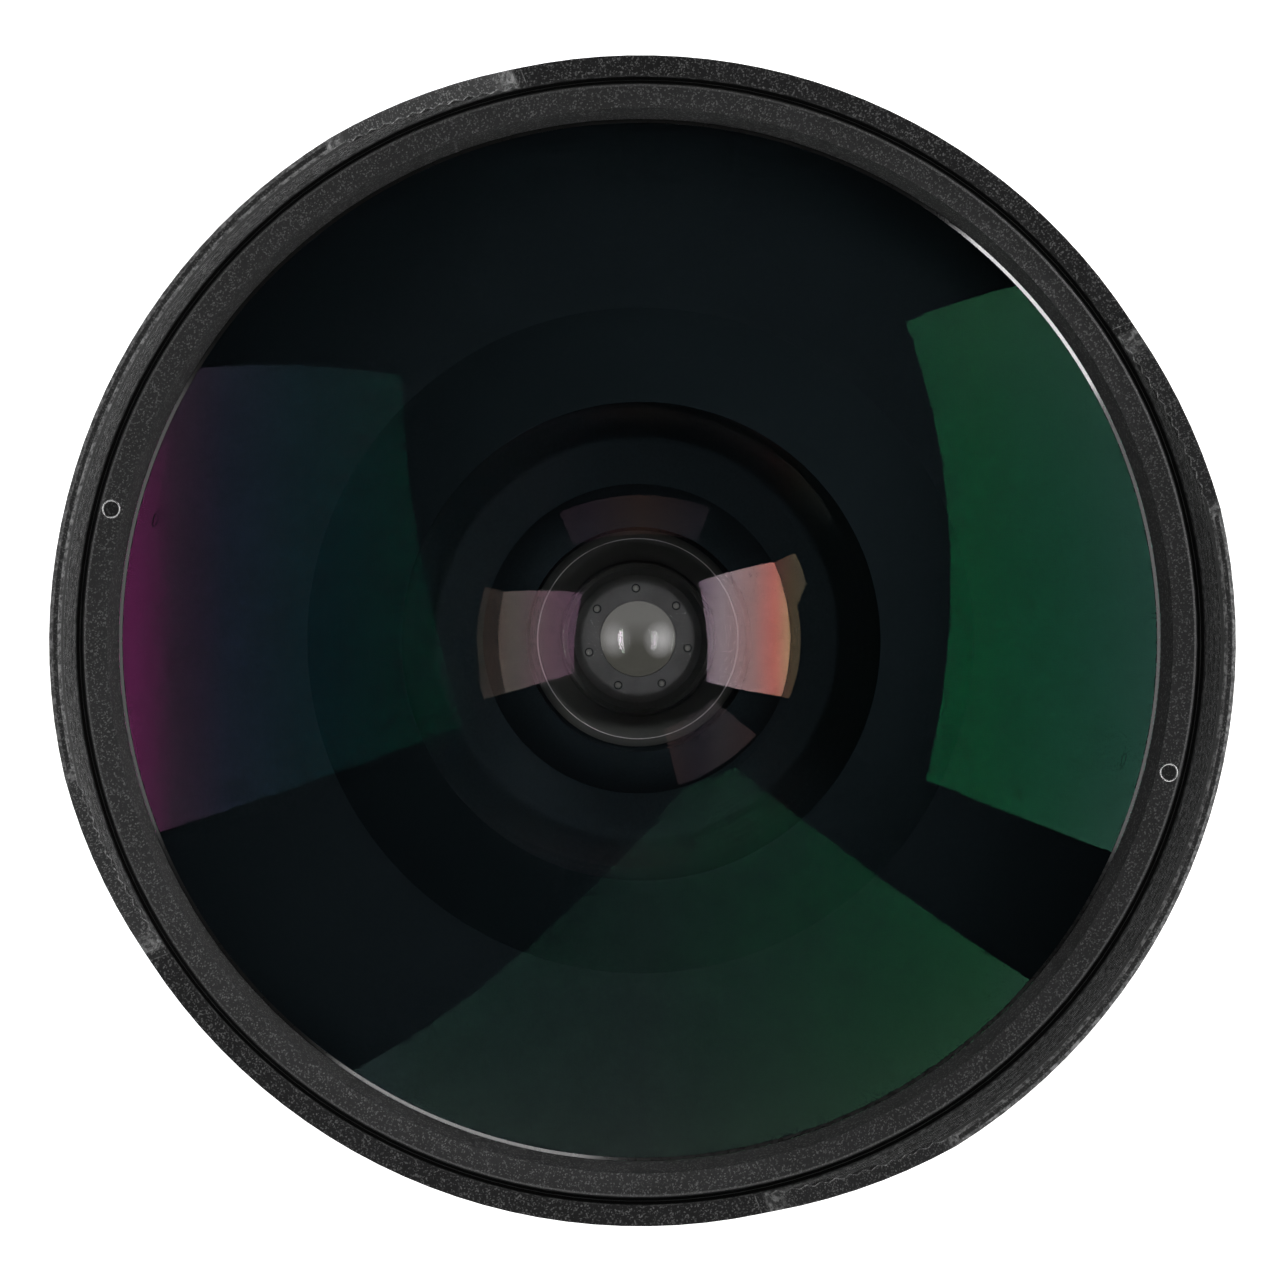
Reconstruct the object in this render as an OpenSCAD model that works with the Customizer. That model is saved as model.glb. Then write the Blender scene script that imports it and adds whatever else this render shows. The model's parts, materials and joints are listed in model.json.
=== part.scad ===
// Fisheye lens with a two-petal hood, a helicoid focus, an aperture ring and a seven-blade iris.
// Millimetres. The optical axis is Z, the front is up, and z = 0 is the seat of the bayonet flange.

/* [Outside] */
// Radius of the hood and of the seat for a slip-on cap
hood_r = 38; // [37.6:0.1:42]
// Length of the hood from its rear edge to the low sections
hood_len = 22; // [21:0.5:26]
// Rise of the petals above the low sections
petal_rise = 9; // [6:0.5:11]
// Width of each low section, in degrees
low_span = 70; // [50:1:80]
// Width of each sloped flank, in degrees
flank_span = 20; // [14:1:24]
// Outer radius of the focus ring over its ribs
focus_r = 35; // [34.5:0.1:38]
// Length of the focus ring
focus_len = 21.5; // [20:0.5:28]
// Ribs round the focus ring
focus_ribs = 60; // [40:2:80]
// Outer radius of the aperture ring
aperture_r = 35; // [34.6:0.1:38]
// Length of the aperture ring
aperture_len = 8; // [7:0.5:12]
// Ribs round the aperture ring
aperture_ribs = 90; // [60:2:110]
// Wall of the rear barrel round the helicoid's bearing
rear_wall = 2.5; // [2:0.1:5]
// Length of the rear barrel
rear_len = 18; // [17.5:0.5:24]

/* [Hood wall] */
// Wall of the hood at the low sections
hood_wall = 1.3; // [1:0.05:2]
// Wall of the hood at the petal tips
tip_wall = 0.75; // [0.5:0.05:1.2]
// Depth of the anti-reflection ridges
ridge_depth = 0.2; // [0.1:0.02:0.25]
// Ridges up the inner wall
ridge_count = 14; // [8:1:18]
// Radius of the fillet at the foot of each flank
flank_fillet = 1.2; // [0.6:0.1:2]

/* [Mount] */
// Step from the rear barrel in to the mount flange
flange_step = 2; // [1:0.1:2.5]
// Thickness of the mount flange
flange_t = 2; // [1.8:0.1:2.5]
// Outer radius of the bayonet tube
bayonet_r = 21.8; // [21.6:0.1:22.5]
// Wall of the bayonet tube
bayonet_wall = 1.8; // [1.2:0.1:2.4]
// Depth of the bayonet behind the flange
bayonet_depth = 5; // [4.6:0.1:6]
// Reach of each bayonet lug beyond the tube
lug_reach = 1.5; // [1:0.1:1.7]
// Thickness of each bayonet lug
lug_t = 1.6; // [1.2:0.1:2]
// Width of each bayonet lug, in degrees
lug_span = 58; // [40:1:70]
// Distance of the mount screws in from the flange's edge
mount_screw_inset = 3; // [2.4:0.1:3.4]
// Shank radius of the mount screws
mount_screw_r = 0.8; // [0.6:0.1:1]

/* [Front glass] */
// Distance of the front element's rim in from the retaining ring's outer edge
glass1_inset = 0.7; // [0.6:0.05:1]
// Reach of the retaining ring over the front element's rim
glass1_grip = 1.5; // [1.2:0.1:2.5]
// Curvature radius of the front surface
glass1_front = 56; // [52:0.5:70]
// Curvature radius of the hollow rear surface
glass1_back = 25; // [24.5:0.1:28]
// Centre thickness of the front element
glass1_t = 4; // [3:0.1:4.5]
// Rim radius of the hollow rear surface
glass1_back_r = 20.4; // [19.5:0.1:21]
// Distance of the front retaining ring in from the hood's inner wall
front_ring_inset = 0.5; // [0.45:0.05:0.8]
// Width of the retaining ring's flat face
front_ring_w = 1.52; // [1.2:0.02:1.8]
// Drop from the hood's low sections to the ring's face
front_ring_drop = 1.6; // [1.2:0.1:2.4]
// Thickness of the front retaining ring
front_ring_t = 1.9; // [1.5:0.1:2.2]
// Radius of the spanner holes
spanner_r = 0.55; // [0.4:0.05:0.7]
// Direction of the first spanner hole, in degrees from X
spanner_angle = 98.5; // [0:0.5:180]

/* [Inner glass] */
// Radius of the second element
glass2_r = 19.5; // [19:0.1:19.8]
// Curvature radius of the second element's front surface
glass2_front = 80; // [70:1:120]
// Curvature radius of the second element's hollow rear surface
glass2_back = 13.5; // [13:0.1:15]
// Centre thickness of the second element
glass2_t = 1.8; // [1.4:0.1:2.2]
// Rim radius of the second element's hollow rear surface
glass2_back_r = 12; // [11.6:0.1:12.2]
// Radius of the front doublet
doublet_r = 11.3; // [11:0.1:11.5]
// Distance from the second element's rear shoulder to the doublet's front vertex
doublet_drop = 3.4; // [3.2:0.1:4]
// Clear radius of the ring in front of the doublet
doublet_clear_r = 10.8; // [10.4:0.1:10.9]
// Radius of the elements just behind the iris
rear_glass_r = 9; // [8.6:0.1:9.2]
// Radius of the last element
last_glass_r = 11.5; // [11:0.1:12]

/* [Iris] */
// Radius of the open iris plate
iris_open_r = 6; // [5.6:0.1:6.1]
// Pitch radius of the blade pivots
pivot_pitch = 8; // [7.9:0.05:8.1]
// Radius of a blade's inner edge
blade_in_r = 6.25; // [6.2:0.05:6.4]
// Radius of a blade's outer edge
blade_out_r = 10.4; // [10.2:0.05:10.5]
// Thickness of a blade
blade_t = 0.05; // [0.03:0.01:0.06]
// Lean of a blade from its pivot down to its drive pin, as a slope
blade_lean = 0.17; // [0.16:0.005:0.2]
// Radius of the pins on the blades
blade_pin_r = 0.4; // [0.3:0.02:0.45]
// Turn of the aperture ring from wide open to the smallest stop, in degrees
aperture_turn = 60; // [50:1:64]
// Turn of each blade over the same travel, in degrees
blade_turn = 37; // [30:0.5:37.5]

/* [Focus] */
// Turn of the focus ring from infinity to its near limit, in degrees
focus_turn = 120; // [90:1:140]
// Forward travel of the optics over that turn
focus_travel = 1.2; // [0.8:0.1:1.4]
// Outer radius of the sliding helicoid sleeve
sleeve_r = 26; // [25.8:0.1:26.2]
// Wall of the helicoid sleeve
sleeve_wall = 3; // [2.6:0.1:3.2]
// Wall of the turning helicoid ring
helicoid_wall = 2; // [1.8:0.1:3]

/* [Clearances] */
// Clearance between pieces that are fixed together
fit = 0.02; // [0.01:0.01:0.04]
// Radial clearance between pieces that turn or slide on each other
run = 0.05; // [0.03:0.01:0.08]
// Gap between neighbouring rings on the outside
ring_gap = 0.3; // [0.2:0.05:0.5]

/* [Hidden] */
$fn = 96;
glass_fn = 220;
far = 200;

blade_count = 7;
blade_step = 360 / blade_count;

// Radii from the helicoid out to the mount flange
helicoid_r = sleeve_r + helicoid_wall;
bearing_r = helicoid_r + 1.5;
retainer_r = bearing_r + 1;
rear_r = retainer_r + rear_wall;
flange_r = rear_r - flange_step;
mount_screw_pitch = flange_r - mount_screw_inset;
throat_r = bayonet_r - bayonet_wall;

// Radii from the hood in to the front glass
hood_in_low = hood_r - hood_wall;
hood_in_tip = hood_r - tip_wall;
front_ring_r = hood_in_low - front_ring_inset;
front_ring_face_r = front_ring_r - front_ring_w;
glass1_r = front_ring_r - glass1_inset;
glass1_clear_r = glass1_r - glass1_grip;

// Rear to front along the barrel
rear_top = flange_t + rear_len;
focus_z = rear_top + ring_gap;
focus_top = focus_z + focus_len;
retainer_t = 0.5;
retainer_z = focus_top + ring_gap + 0.2;
retainer_top = retainer_z + retainer_t;
aperture_z = retainer_top + run * 2;
aperture_top = aperture_z + aperture_len;
cell_shoulder_z = aperture_top + run * 2;
hood_z = cell_shoulder_z + ring_gap / 2;
low_z = hood_z + hood_len;
tip_z = low_z + petal_rise;

// Height of a spherical cap
function sag(curve, r) = curve - sqrt(curve * curve - r * r);

// A point of the plan, turned about the optical axis
function turned(p, a) = [p[0] * cos(a) - p[1] * sin(a), p[0] * sin(a) + p[1] * cos(a)];

// Flanks of the petals
flank_angle = low_span / 2 + flank_span / 2;
flank_half_w = hood_in_tip * tan(flank_span / 2);
flank_slope = atan(petal_rise / (flank_half_w * 2));
flank_foot = -flank_half_w - flank_fillet * tan(flank_slope / 2);

// Front retaining ring, front element and its seat
ring_top_z = low_z - front_ring_drop;
ring_z = ring_top_z - front_ring_t;
glass1_z = ring_z - fit * 4 + sag(glass1_front, glass1_clear_r);
glass1_back_z = glass1_z - glass1_t;
seat_z = glass1_back_z - sag(glass1_back, glass1_back_r);
glass1_rim_z = glass1_z - sag(glass1_front, glass1_r);

// Second element, held from the front in the front cell
glass2_z = seat_z - 0.45;
glass2_rim_z = glass2_z - sag(glass2_front, glass2_r);
glass2_back_z = glass2_z - glass2_t;
shoulder2_z = glass2_back_z - sag(glass2_back, glass2_back_r);

// Front doublet, a hollow front surface and a cemented joint
glass3_front = 30;
cement_curve = 16;
glass4_back = 40;
glass3_t = 1.6;
glass4_t = 6.8;
glass3_z = shoulder2_z - doublet_drop;
glass3_rim_z = glass3_z + sag(glass3_front, doublet_r);
cement_z = glass3_z - glass3_t;
cement_rim_z = cement_z - sag(cement_curve, doublet_r - 0.3);
glass4_r = doublet_r - 0.4;
glass4_back_z = cement_z - glass4_t;

// Iris, from its front plate back to its cover
plate_t = 0.8;
plate_top_z = glass4_back_z - 5.1;
plate_z = plate_top_z - plate_t;
pivot_z = plate_z - 0.5;
drive_pitch = 11.5;
drive_ahead = 105;
lean_angle = 150;
drive_at = drive_pitch * [cos(drive_ahead), sin(drive_ahead)];
pivot_at = [pivot_pitch, 0];
lean_dir = [cos(lean_angle), sin(lean_angle)];
drive_z = pivot_z - blade_lean * (lean_dir * (drive_at - pivot_at));
blade_pad_r = 1.2;
chamber_r = drive_pitch + blade_pad_r + 0.5;
cam_t = 1;
cam_top_z = drive_z - blade_lean * blade_pad_r - 0.5;
cam_z = cam_top_z - cam_t;
cam_in_r = 6.6;
cover_top_z = cam_z - 0.2;
cover_t = 0.8;
cover_z = cover_top_z - cover_t;
housing_wall = 2.3;
housing_r = chamber_r + housing_wall;
housing_z = cover_z - 5;
blade_ratio = blade_turn / aperture_turn;

// Rear cell and its glass, from the iris cover back
cell_bore_r = rear_glass_r + run;
cell_r = housing_r - 1;
glass5_z = cover_z - 0.9;
glass5_front = 24;
glass5_back = 40;
glass5_t = 3.4;
glass6_z = glass5_z - glass5_t - 1;
glass6_front = 18;
glass6_back = 13;
glass6_t = 6.8;
glass7_t = 1.2;
glass7_back = 40;
glass67_z = glass6_z - glass6_t;
glass7_back_z = glass67_z - glass7_t;
glass8_z = glass7_back_z - 1.6;
glass8_front = 30;
glass89_curve = 14;
glass8_t = 1.2;
glass89_z = glass8_z - glass8_t;
glass9_t = 5.8;
glass9_back = 35;
glass9_back_z = glass89_z - glass9_t;
glass10_z = glass9_back_z - 0.7;
glass10_front = 30;
glass10_t = 3.9;
glass10_back_z = glass10_z - glass10_t;
rear_cell_z = glass10_back_z - 1.6;

// Helicoid sleeve, helicoid ring and what traps them
sleeve_in_r = sleeve_r - sleeve_wall;
sleeve_z = flange_t + 2.5;
ledge_z = flange_t + 7;
bearing_t = 3;
trap_t = 2;
key_w = 4;
key_z = flange_t + 1.5;
key_top_z = ledge_z - 1;
web_z = focus_z + 4;
web_t = 3.5;
helicoid_top_z = web_z + web_t + 8;
skirt_z = focus_top - focus_travel - 2.1;
sleeve_top_z = skirt_z + 5.5;
shell_in_r = focus_r - 2.6;
skirt_r = shell_in_r - ring_gap;
land_r = aperture_r - 2;
land_in_r = land_r - 2.5;

// Front cell outside the aperture ring's land
thread_r = hood_in_low - 2.2;
neck_r = thread_r + 1.3;
seat_r = glass1_r + fit;
seat_flange_t = 4;

// Fork that carries the aperture ring's turn back to the iris
fork_angle = 200;
fork_in_r = housing_r + 1.1;
fork_t = 2;
fork_w = 6;
fork_corner_r = norm([fork_in_r + fork_t, fork_w / 2]);
lug_w = 3;
drive_pin_r = 1;
drive_pin_z = (aperture_z + aperture_top) / 2 - 0.6;
slot_margin = 12;
iris_flange_t = 2;

// Click stops
click_angle = 40;
click_ball_r = 0.75;
click_z = aperture_top - 1.6;
click_stops = 11;

anodised = [0.07, 0.07, 0.075];
blackened = [0.03, 0.03, 0.03];
brass = [0.72, 0.56, 0.26];
steel = [0.62, 0.63, 0.65];
chrome = [0.8, 0.8, 0.82];
glass = [0.2, 0.35, 0.32, 0.5];
seal_rubber = [0.05, 0.05, 0.05];

// A disc from z0 up to z1
module disc(r, z0, z1) {
    translate([0, 0, z0]) cylinder(r = r, h = z1 - z0);
}

// A plain tube from z0 up to z1
module tube(r_in, r_out, z0, z1) {
    difference() {
        disc(r_out, z0, z1);
        disc(r_in, z0 - 1, z1 + 1);
    }
}

// A ring sector of the given span, centred on the direction angle
module sector(r_in, r_out, z0, z1, angle, span) {
    rotate([0, 0, angle - span / 2]) rotate_extrude(angle = span) translate([r_in, z0])
        square([r_out - r_in, z1 - z0]);
}

// A round pin along the radius in the direction angle, from r0 out to r1
module radial_pin(r, angle, z, r0, r1) {
    rotate([0, 0, angle]) translate([r0, 0, z]) rotate([0, 90, 0]) cylinder(r = r, h = r1 - r0);
}

// Three radial pins, a third of a turn apart
module radial_screws(r, angle, z, r0, r1) {
    for (k = [0 : 2]) radial_pin(r, angle + 120 * k, z, r0, r1);
}

// Spheres that carry a surface with its vertex at z: one bulges forward, the other bulges back
module bulge_forward(z, curve) {
    translate([0, 0, z - curve]) sphere(r = curve, $fn = glass_fn);
}

module bulge_back(z, curve) {
    translate([0, 0, z + curve]) sphere(r = curve, $fn = glass_fn);
}

// A ribbed outline: grooves of the given depth between ribs of equal width
module ribbed(r, depth, ribs) {
    step = 360 / ribs;
    polygon([
        for (k = [0 : ribs - 1], c = [[-0.25, 0], [0.25, 0], [0.35, depth], [0.65, depth]])
            (r - c[1]) * [cos((k + c[0]) * step), sin((k + c[0]) * step)]
    ]);
}

// Fixed part

module mount_plate() {
    groove_r = bayonet_r + lug_reach + 0.4;
    edge = 0.25;
    lug_z = edge - bayonet_depth;
    color(chrome) difference() {
        union() {
            rotate_extrude() polygon([
                [throat_r, lug_z], [throat_r + edge, -bayonet_depth],
                [bayonet_r, -bayonet_depth], [bayonet_r, flange_t / 3], [groove_r, flange_t / 3],
                [groove_r, 0], [flange_r - edge, 0], [flange_r, edge], [flange_r, flange_t],
                [throat_r, flange_t]
            ]);
            for (k = [0 : 2])
                sector(bayonet_r - 0.5, bayonet_r + lug_reach, lug_z, lug_z + lug_t, 120 * k + 30, lug_span);
        }
        for (k = [0 : 3]) rotate([0, 0, 90 * k + 45]) translate([mount_screw_pitch, 0, 0]) {
            disc(mount_screw_r + run, -1, flange_t + 1);
            disc(mount_screw_r * 2 + run, -1, flange_t / 2);
        }
        sector(flange_r - 3.6, flange_r - 1.6, -1, flange_t / 2, 8, 5);
    }
}

module mount_screws() {
    color(steel) for (k = [0 : 3]) rotate([0, 0, 90 * k + 45]) translate([mount_screw_pitch, 0, 0]) {
        difference() {
            disc(mount_screw_r * 2, run, flange_t / 2 - fit);
            for (a = [0, 90]) rotate([0, 0, a])
                translate([-mount_screw_r, -0.2, -1]) cube([mount_screw_r * 2, 0.4, 1 + flange_t / 4]);
        }
        disc(mount_screw_r, flange_t / 2 - fit, flange_t + 4);
    }
}

module rear_baffle() {
    window = [throat_r * 1.3, throat_r * 0.9];
    color(blackened) difference() {
        disc(throat_r - fit, 0.3, 1.1);
        translate([-window[0] / 2, -window[1] / 2, 0]) cube([window[0], window[1], 3]);
    }
}

module rear_barrel() {
    trap_top_z = ledge_z + bearing_t + run * 2 + trap_t;
    color(anodised) difference() {
        rotate_extrude() polygon([
            [sleeve_r + ring_gap, flange_t + fit], [rear_r - 0.6, flange_t + fit], [rear_r, flange_t + 0.6],
            [rear_r, rear_top - 0.4], [rear_r - 0.4, rear_top], [retainer_r, rear_top],
            [retainer_r, ledge_z], [sleeve_r + ring_gap, ledge_z]
        ]);
        for (k = [0 : 3]) rotate([0, 0, 90 * k + 45]) translate([mount_screw_pitch, 0, 0])
            disc(mount_screw_r + fit, flange_t - 1, flange_t + 4.3);
        for (a = [0, 180]) rotate([0, 0, a])
            translate([sleeve_r - 1, -key_w / 2 - fit, key_z - fit])
                cube([3, key_w + fit * 2, key_top_z - key_z + fit * 2]);
        radial_pin(0.9 + fit, 0, trap_top_z + 1.6, helicoid_r, far);
        radial_pin(1 + fit, 90, flange_t + 3.5, rear_r - 1, far);
    }
}

module mount_index_dot() {
    color([0.75, 0.1, 0.08]) intersection() {
        radial_pin(1, 90, flange_t + 3.5, rear_r - 1 + fit, rear_r + 1);
        rotate([0, 0, 90]) translate([rear_r - 2, 0, flange_t + 3.5]) sphere(r = 2.4);
    }
}

module guide_keys() {
    color(brass) for (a = [0, 180]) rotate([0, 0, a])
        translate([sleeve_r - 1.8, -key_w / 2, key_z]) cube([3.7, key_w, key_top_z - key_z]);
}

module focus_retainer() {
    trap_z = ledge_z + bearing_t + run * 2;
    color(anodised) difference() {
        tube(helicoid_r + ring_gap, retainer_r - fit, trap_z, trap_z + trap_t);
        for (a = [30, 210]) rotate([0, 0, a]) translate([bearing_r, 0, 0]) disc(0.6, trap_z + 0.8, far);
    }
}

module focus_stop_pin() {
    pin_z = ledge_z + bearing_t + run * 2 + trap_t + 1.6;
    color(steel) radial_pin(0.9, 0, pin_z, helicoid_r - 0.8, rear_r - 0.4);
}

// Turning focus part

module focus_ring() {
    grip_z = web_z + web_t + 1.2;
    grip_top_z = focus_top - 1.6;
    band_r = focus_r - 0.5;
    color(anodised) difference() {
        union() {
            disc(band_r, focus_z + 0.4, grip_z);
            translate([0, 0, focus_z]) cylinder(r1 = band_r - 0.4, r2 = band_r, h = 0.4);
            translate([0, 0, grip_z]) linear_extrude(grip_top_z - grip_z) ribbed(focus_r, 0.9, focus_ribs);
            disc(band_r, grip_top_z, focus_top - 0.4);
            translate([0, 0, focus_top - 0.4]) cylinder(r1 = band_r, r2 = band_r - 0.4, h = 0.4);
        }
        disc(helicoid_r + fit, focus_z - 1, focus_top + 1);
        disc(shell_in_r, focus_z - 1, web_z);
        disc(shell_in_r, web_z + web_t, focus_top + 1);
        radial_screws(0.8 + fit, 70, web_z + web_t / 2, helicoid_r - 1, far);
    }
}

module helicoid_ring() {
    stop_z = ledge_z + bearing_t + run * 2 + trap_t + 1.6;
    pin_span = asin(1 / helicoid_r) * 2;
    color(brass) difference() {
        union() {
            disc(helicoid_r, ledge_z + run, helicoid_top_z);
            disc(bearing_r, ledge_z + run, ledge_z + run + bearing_t);
        }
        disc(sleeve_r + run, ledge_z - 1, helicoid_top_z + 1);
        sector(helicoid_r - 1, helicoid_r + 1, stop_z - 1, stop_z + 1, -focus_turn / 2,
            focus_turn + pin_span * 2);
        radial_screws(0.8 + fit, 70, web_z + web_t / 2, helicoid_r - 1, far);
    }
}

module focus_set_screws() {
    outer_r = focus_r - 0.8;
    color(steel) difference() {
        radial_screws(0.8, 70, web_z + web_t / 2, helicoid_r - 1 + fit, outer_r);
        radial_screws(0.35, 70, web_z + web_t / 2, outer_r - 0.8, far);
    }
}

// Sliding optical part

module helicoid_sleeve() {
    color(anodised) difference() {
        union() {
            tube(sleeve_in_r, sleeve_r, sleeve_z, sleeve_top_z);
            tube(sleeve_in_r - 1.6, sleeve_in_r + 0.5, plate_top_z - iris_flange_t - 2,
                plate_top_z - iris_flange_t - fit);
        }
        for (a = [0, 180]) rotate([0, 0, a]) translate([sleeve_in_r - 2, -key_w / 2 - run, sleeve_z - 1])
            cube([sleeve_wall + 4, key_w + run * 2, key_top_z - sleeve_z + 1 + ring_gap]);
        radial_screws(0.8 + fit, 10, skirt_z + 2.2, sleeve_r - 1.5, far);
    }
}

module front_cell() {
    cavity_r = land_in_r;
    collar_r = glass2_r + 2.5;
    under_z = seat_z - seat_flange_t - 2.4;
    color(anodised) difference() {
        rotate_extrude() polygon([
            [sleeve_r + fit, skirt_z], [skirt_r, skirt_z], [skirt_r, retainer_z - 0.4],
            [land_r, retainer_z - 0.4], [land_r, cell_shoulder_z], [thread_r, cell_shoulder_z],
            [thread_r, seat_z - seat_flange_t], [seat_r, seat_z - seat_flange_t], [seat_r, seat_z - fit],
            [glass2_r + 1, seat_z - fit], [glass2_r + 1, glass2_rim_z], [glass2_r + fit, glass2_rim_z],
            [glass2_r + fit, shoulder2_z - fit], [doublet_r + 3.7, shoulder2_z - fit],
            [doublet_r + 3.7, shoulder2_z - 1.7], [collar_r, shoulder2_z - 1.7], [collar_r, under_z],
            [cavity_r, under_z], [cavity_r, sleeve_top_z + fit], [sleeve_r + fit, sleeve_top_z + fit]
        ]);
        sector(cavity_r - 1, land_r + 1, drive_pin_z - drive_pin_r - 0.3, drive_pin_z + drive_pin_r + 0.3,
            fork_angle + aperture_turn / 2, aperture_turn + slot_margin);
        radial_pin(click_ball_r + run, click_angle, click_z, cavity_r - 1, far);
        radial_screws(0.8 + fit, 10, skirt_z + 2.2, sleeve_r - 1, skirt_r + 1);
        radial_screws(0.8 + fit, 20, hood_z + 7, thread_r - 1.5, far);
    }
}

module cell_set_screws() {
    color(steel) radial_screws(0.8, 10, skirt_z + 2.2, sleeve_r - 1.5 + fit, skirt_r - 0.4);
}

// Outline of one flank's cut, along the rim and up, with its fillet and a fine relief at the foot
module flank_cut() {
    relief = 0.04;
    polygon(concat(
        [[flank_foot - 0.5, petal_rise + 1], [flank_foot - 0.5, 0.3], [flank_foot, -relief]],
        [for (k = [1 : 5]) [
            flank_foot + flank_fillet * sin(flank_slope * k / 5),
            flank_fillet * (1 - cos(flank_slope * k / 5))
        ]],
        [[flank_half_w, petal_rise], [flank_half_w * (1 + 2 / petal_rise), petal_rise + 1]]
    ));
}

// Plan of the cut over one low section, between the feet of its two flanks
module low_cut() {
    feet = [for (r = [hood_in_low - 5, hood_r + 5]) turned([r, flank_foot], flank_angle)];
    polygon([
        feet[0], feet[1], [hood_r * 2, 0], [feet[1][0], -feet[1][1]], [feet[0][0], -feet[0][1]]
    ]);
}

module petal_hood() {
    ridge_z = low_z - 0.6;
    pitch = (tip_z - 0.5 - ridge_z) / ridge_count;
    function wall_r(z) = hood_in_low + (hood_in_tip - hood_in_low) * (z - ridge_z) / (tip_z - ridge_z);
    ridges = [
        for (k = [0 : ridge_count - 1], c = [[0, 0], [0.5, ridge_depth]])
            [wall_r(ridge_z + (k + c[0]) * pitch) - ridge_depth / 2 + c[1], ridge_z + (k + c[0]) * pitch]
    ];
    color(anodised) difference() {
        rotate_extrude() polygon(concat(
            [
                [thread_r + fit, hood_z], [neck_r, hood_z], [hood_r, hood_z + 4],
                [hood_r, tip_z - 0.25], [hood_r - 0.25, tip_z], [hood_in_tip + 0.2, tip_z],
                [hood_in_tip, tip_z - 0.25]
            ],
            [for (k = [len(ridges) - 1 : -1 : 0]) ridges[k]],
            [
                [hood_in_low, low_z - 0.65], [front_ring_r + 0.22, low_z - 0.65],
                [front_ring_r + 0.22, ring_top_z + 0.4], [front_ring_r + run, ring_top_z + 0.2],
                [front_ring_r + run, glass1_rim_z + 0.1], [seat_r + fit, glass1_rim_z + 0.1],
                [seat_r + fit, seat_z - seat_flange_t - fit], [thread_r + fit, seat_z - seat_flange_t - fit]
            ]
        ));
        for (a = [0, 180]) rotate([0, 0, a]) translate([0, 0, low_z]) linear_extrude(petal_rise + 1) low_cut();
        for (a = [0, 180], side = [0, 1]) rotate([0, 0, a]) mirror([0, side, 0]) rotate([0, 0, flank_angle])
            translate([hood_in_low - 3, 0, low_z]) rotate([90, 0, 90])
                linear_extrude(hood_r - hood_in_low + 6) flank_cut();
        radial_screws(0.8 + fit, 20, hood_z + 7, thread_r - 1, far);
    }
}

module hood_set_screws() {
    outer_r = hood_r - 0.5;
    color(steel) difference() {
        radial_screws(0.8, 20, hood_z + 7, thread_r - 1.5 + fit, outer_r);
        radial_screws(0.35, 20, hood_z + 7, outer_r - 0.8, far);
    }
}

module front_retaining_ring() {
    hole_pitch = (front_ring_r + front_ring_face_r) / 2;
    color(anodised) difference() {
        rotate_extrude() polygon([
            [glass1_clear_r, ring_z], [front_ring_r, ring_z], [front_ring_r, ring_top_z - 0.15],
            [front_ring_r - 0.15, ring_top_z], [front_ring_face_r, ring_top_z]
        ]);
        for (a = [0, 180]) rotate([0, 0, spanner_angle + a]) translate([hole_pitch, 0, 0])
            disc(spanner_r, ring_top_z - 1.2, far);
    }
}

module front_seal() {
    bead_r = 0.42;
    rim_r = (glass1_clear_r + glass1_r) / 2 + 0.3;
    slope = asin(rim_r / glass1_front);
    reach = glass1_front + bead_r + fit;
    color(seal_rubber) rotate_extrude()
        translate([reach * sin(slope), glass1_z - glass1_front + reach * cos(slope)])
            circle(r = bead_r, $fn = 32);
}

module front_element() {
    color(glass) difference() {
        intersection() {
            disc(glass1_r, seat_z, glass1_z + 1);
            bulge_forward(glass1_z, glass1_front);
        }
        bulge_forward(glass1_back_z, glass1_back);
    }
}

module second_element() {
    color(glass) difference() {
        intersection() {
            disc(glass2_r, shoulder2_z, glass2_z + 1);
            bulge_forward(glass2_z, glass2_front);
        }
        bulge_forward(glass2_back_z, glass2_back);
    }
}

module second_retaining_ring() {
    grip_r = glass2_r - 0.7;
    touch_z = glass2_z - sag(glass2_front, grip_r) + fit;
    color(blackened) rotate_extrude() polygon([
        [grip_r, touch_z], [glass2_r + 1 - fit, touch_z], [glass2_r + 1 - fit, seat_z - fit * 4],
        [grip_r + 0.6, seat_z - fit * 4], [grip_r, seat_z - 0.8]
    ]);
}

module middle_cell() {
    lip_z = glass4_back_z + sag(glass4_back, glass4_r - 0.7) - fit;
    color(blackened) difference() {
        union() {
            disc(doublet_r + 2.7, plate_top_z + fit, shoulder2_z - ring_gap);
            disc(fork_in_r - ring_gap, plate_top_z + fit, plate_top_z + 1.8);
        }
        disc(glass4_r - 0.7, plate_top_z - 1, far);
        disc(glass4_r + fit, lip_z, far);
        disc(doublet_r + fit, cement_rim_z, far);
        disc(doublet_r + 1, glass3_rim_z - 0.2, far);
        middle_cell_holes(0.7 + fit, plate_top_z - 1, plate_top_z + 3);
    }
}

module middle_cell_holes(r, z0, z1) {
    for (k = [0 : 2]) rotate([0, 0, 50 + 120 * k]) translate([doublet_r + 4.1, 0, 0]) disc(r, z0, z1);
}

module middle_cell_screws() {
    head_z = plate_top_z + 1.8 + fit;
    color(steel) difference() {
        union() {
            middle_cell_holes(0.7, plate_top_z - 1.4, head_z);
            middle_cell_holes(1.05, head_z, head_z + 0.9);
        }
        for (k = [0 : 2]) rotate([0, 0, 50 + 120 * k])
            translate([doublet_r + 4.1 - 2, -0.15, head_z + 0.5]) cube([4, 0.3, 2]);
    }
}

module doublet_front() {
    color(glass) difference() {
        disc(doublet_r, cement_rim_z, glass3_rim_z - 0.1);
        bulge_back(glass3_z, glass3_front);
        bulge_forward(cement_z, cement_curve);
    }
}

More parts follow.
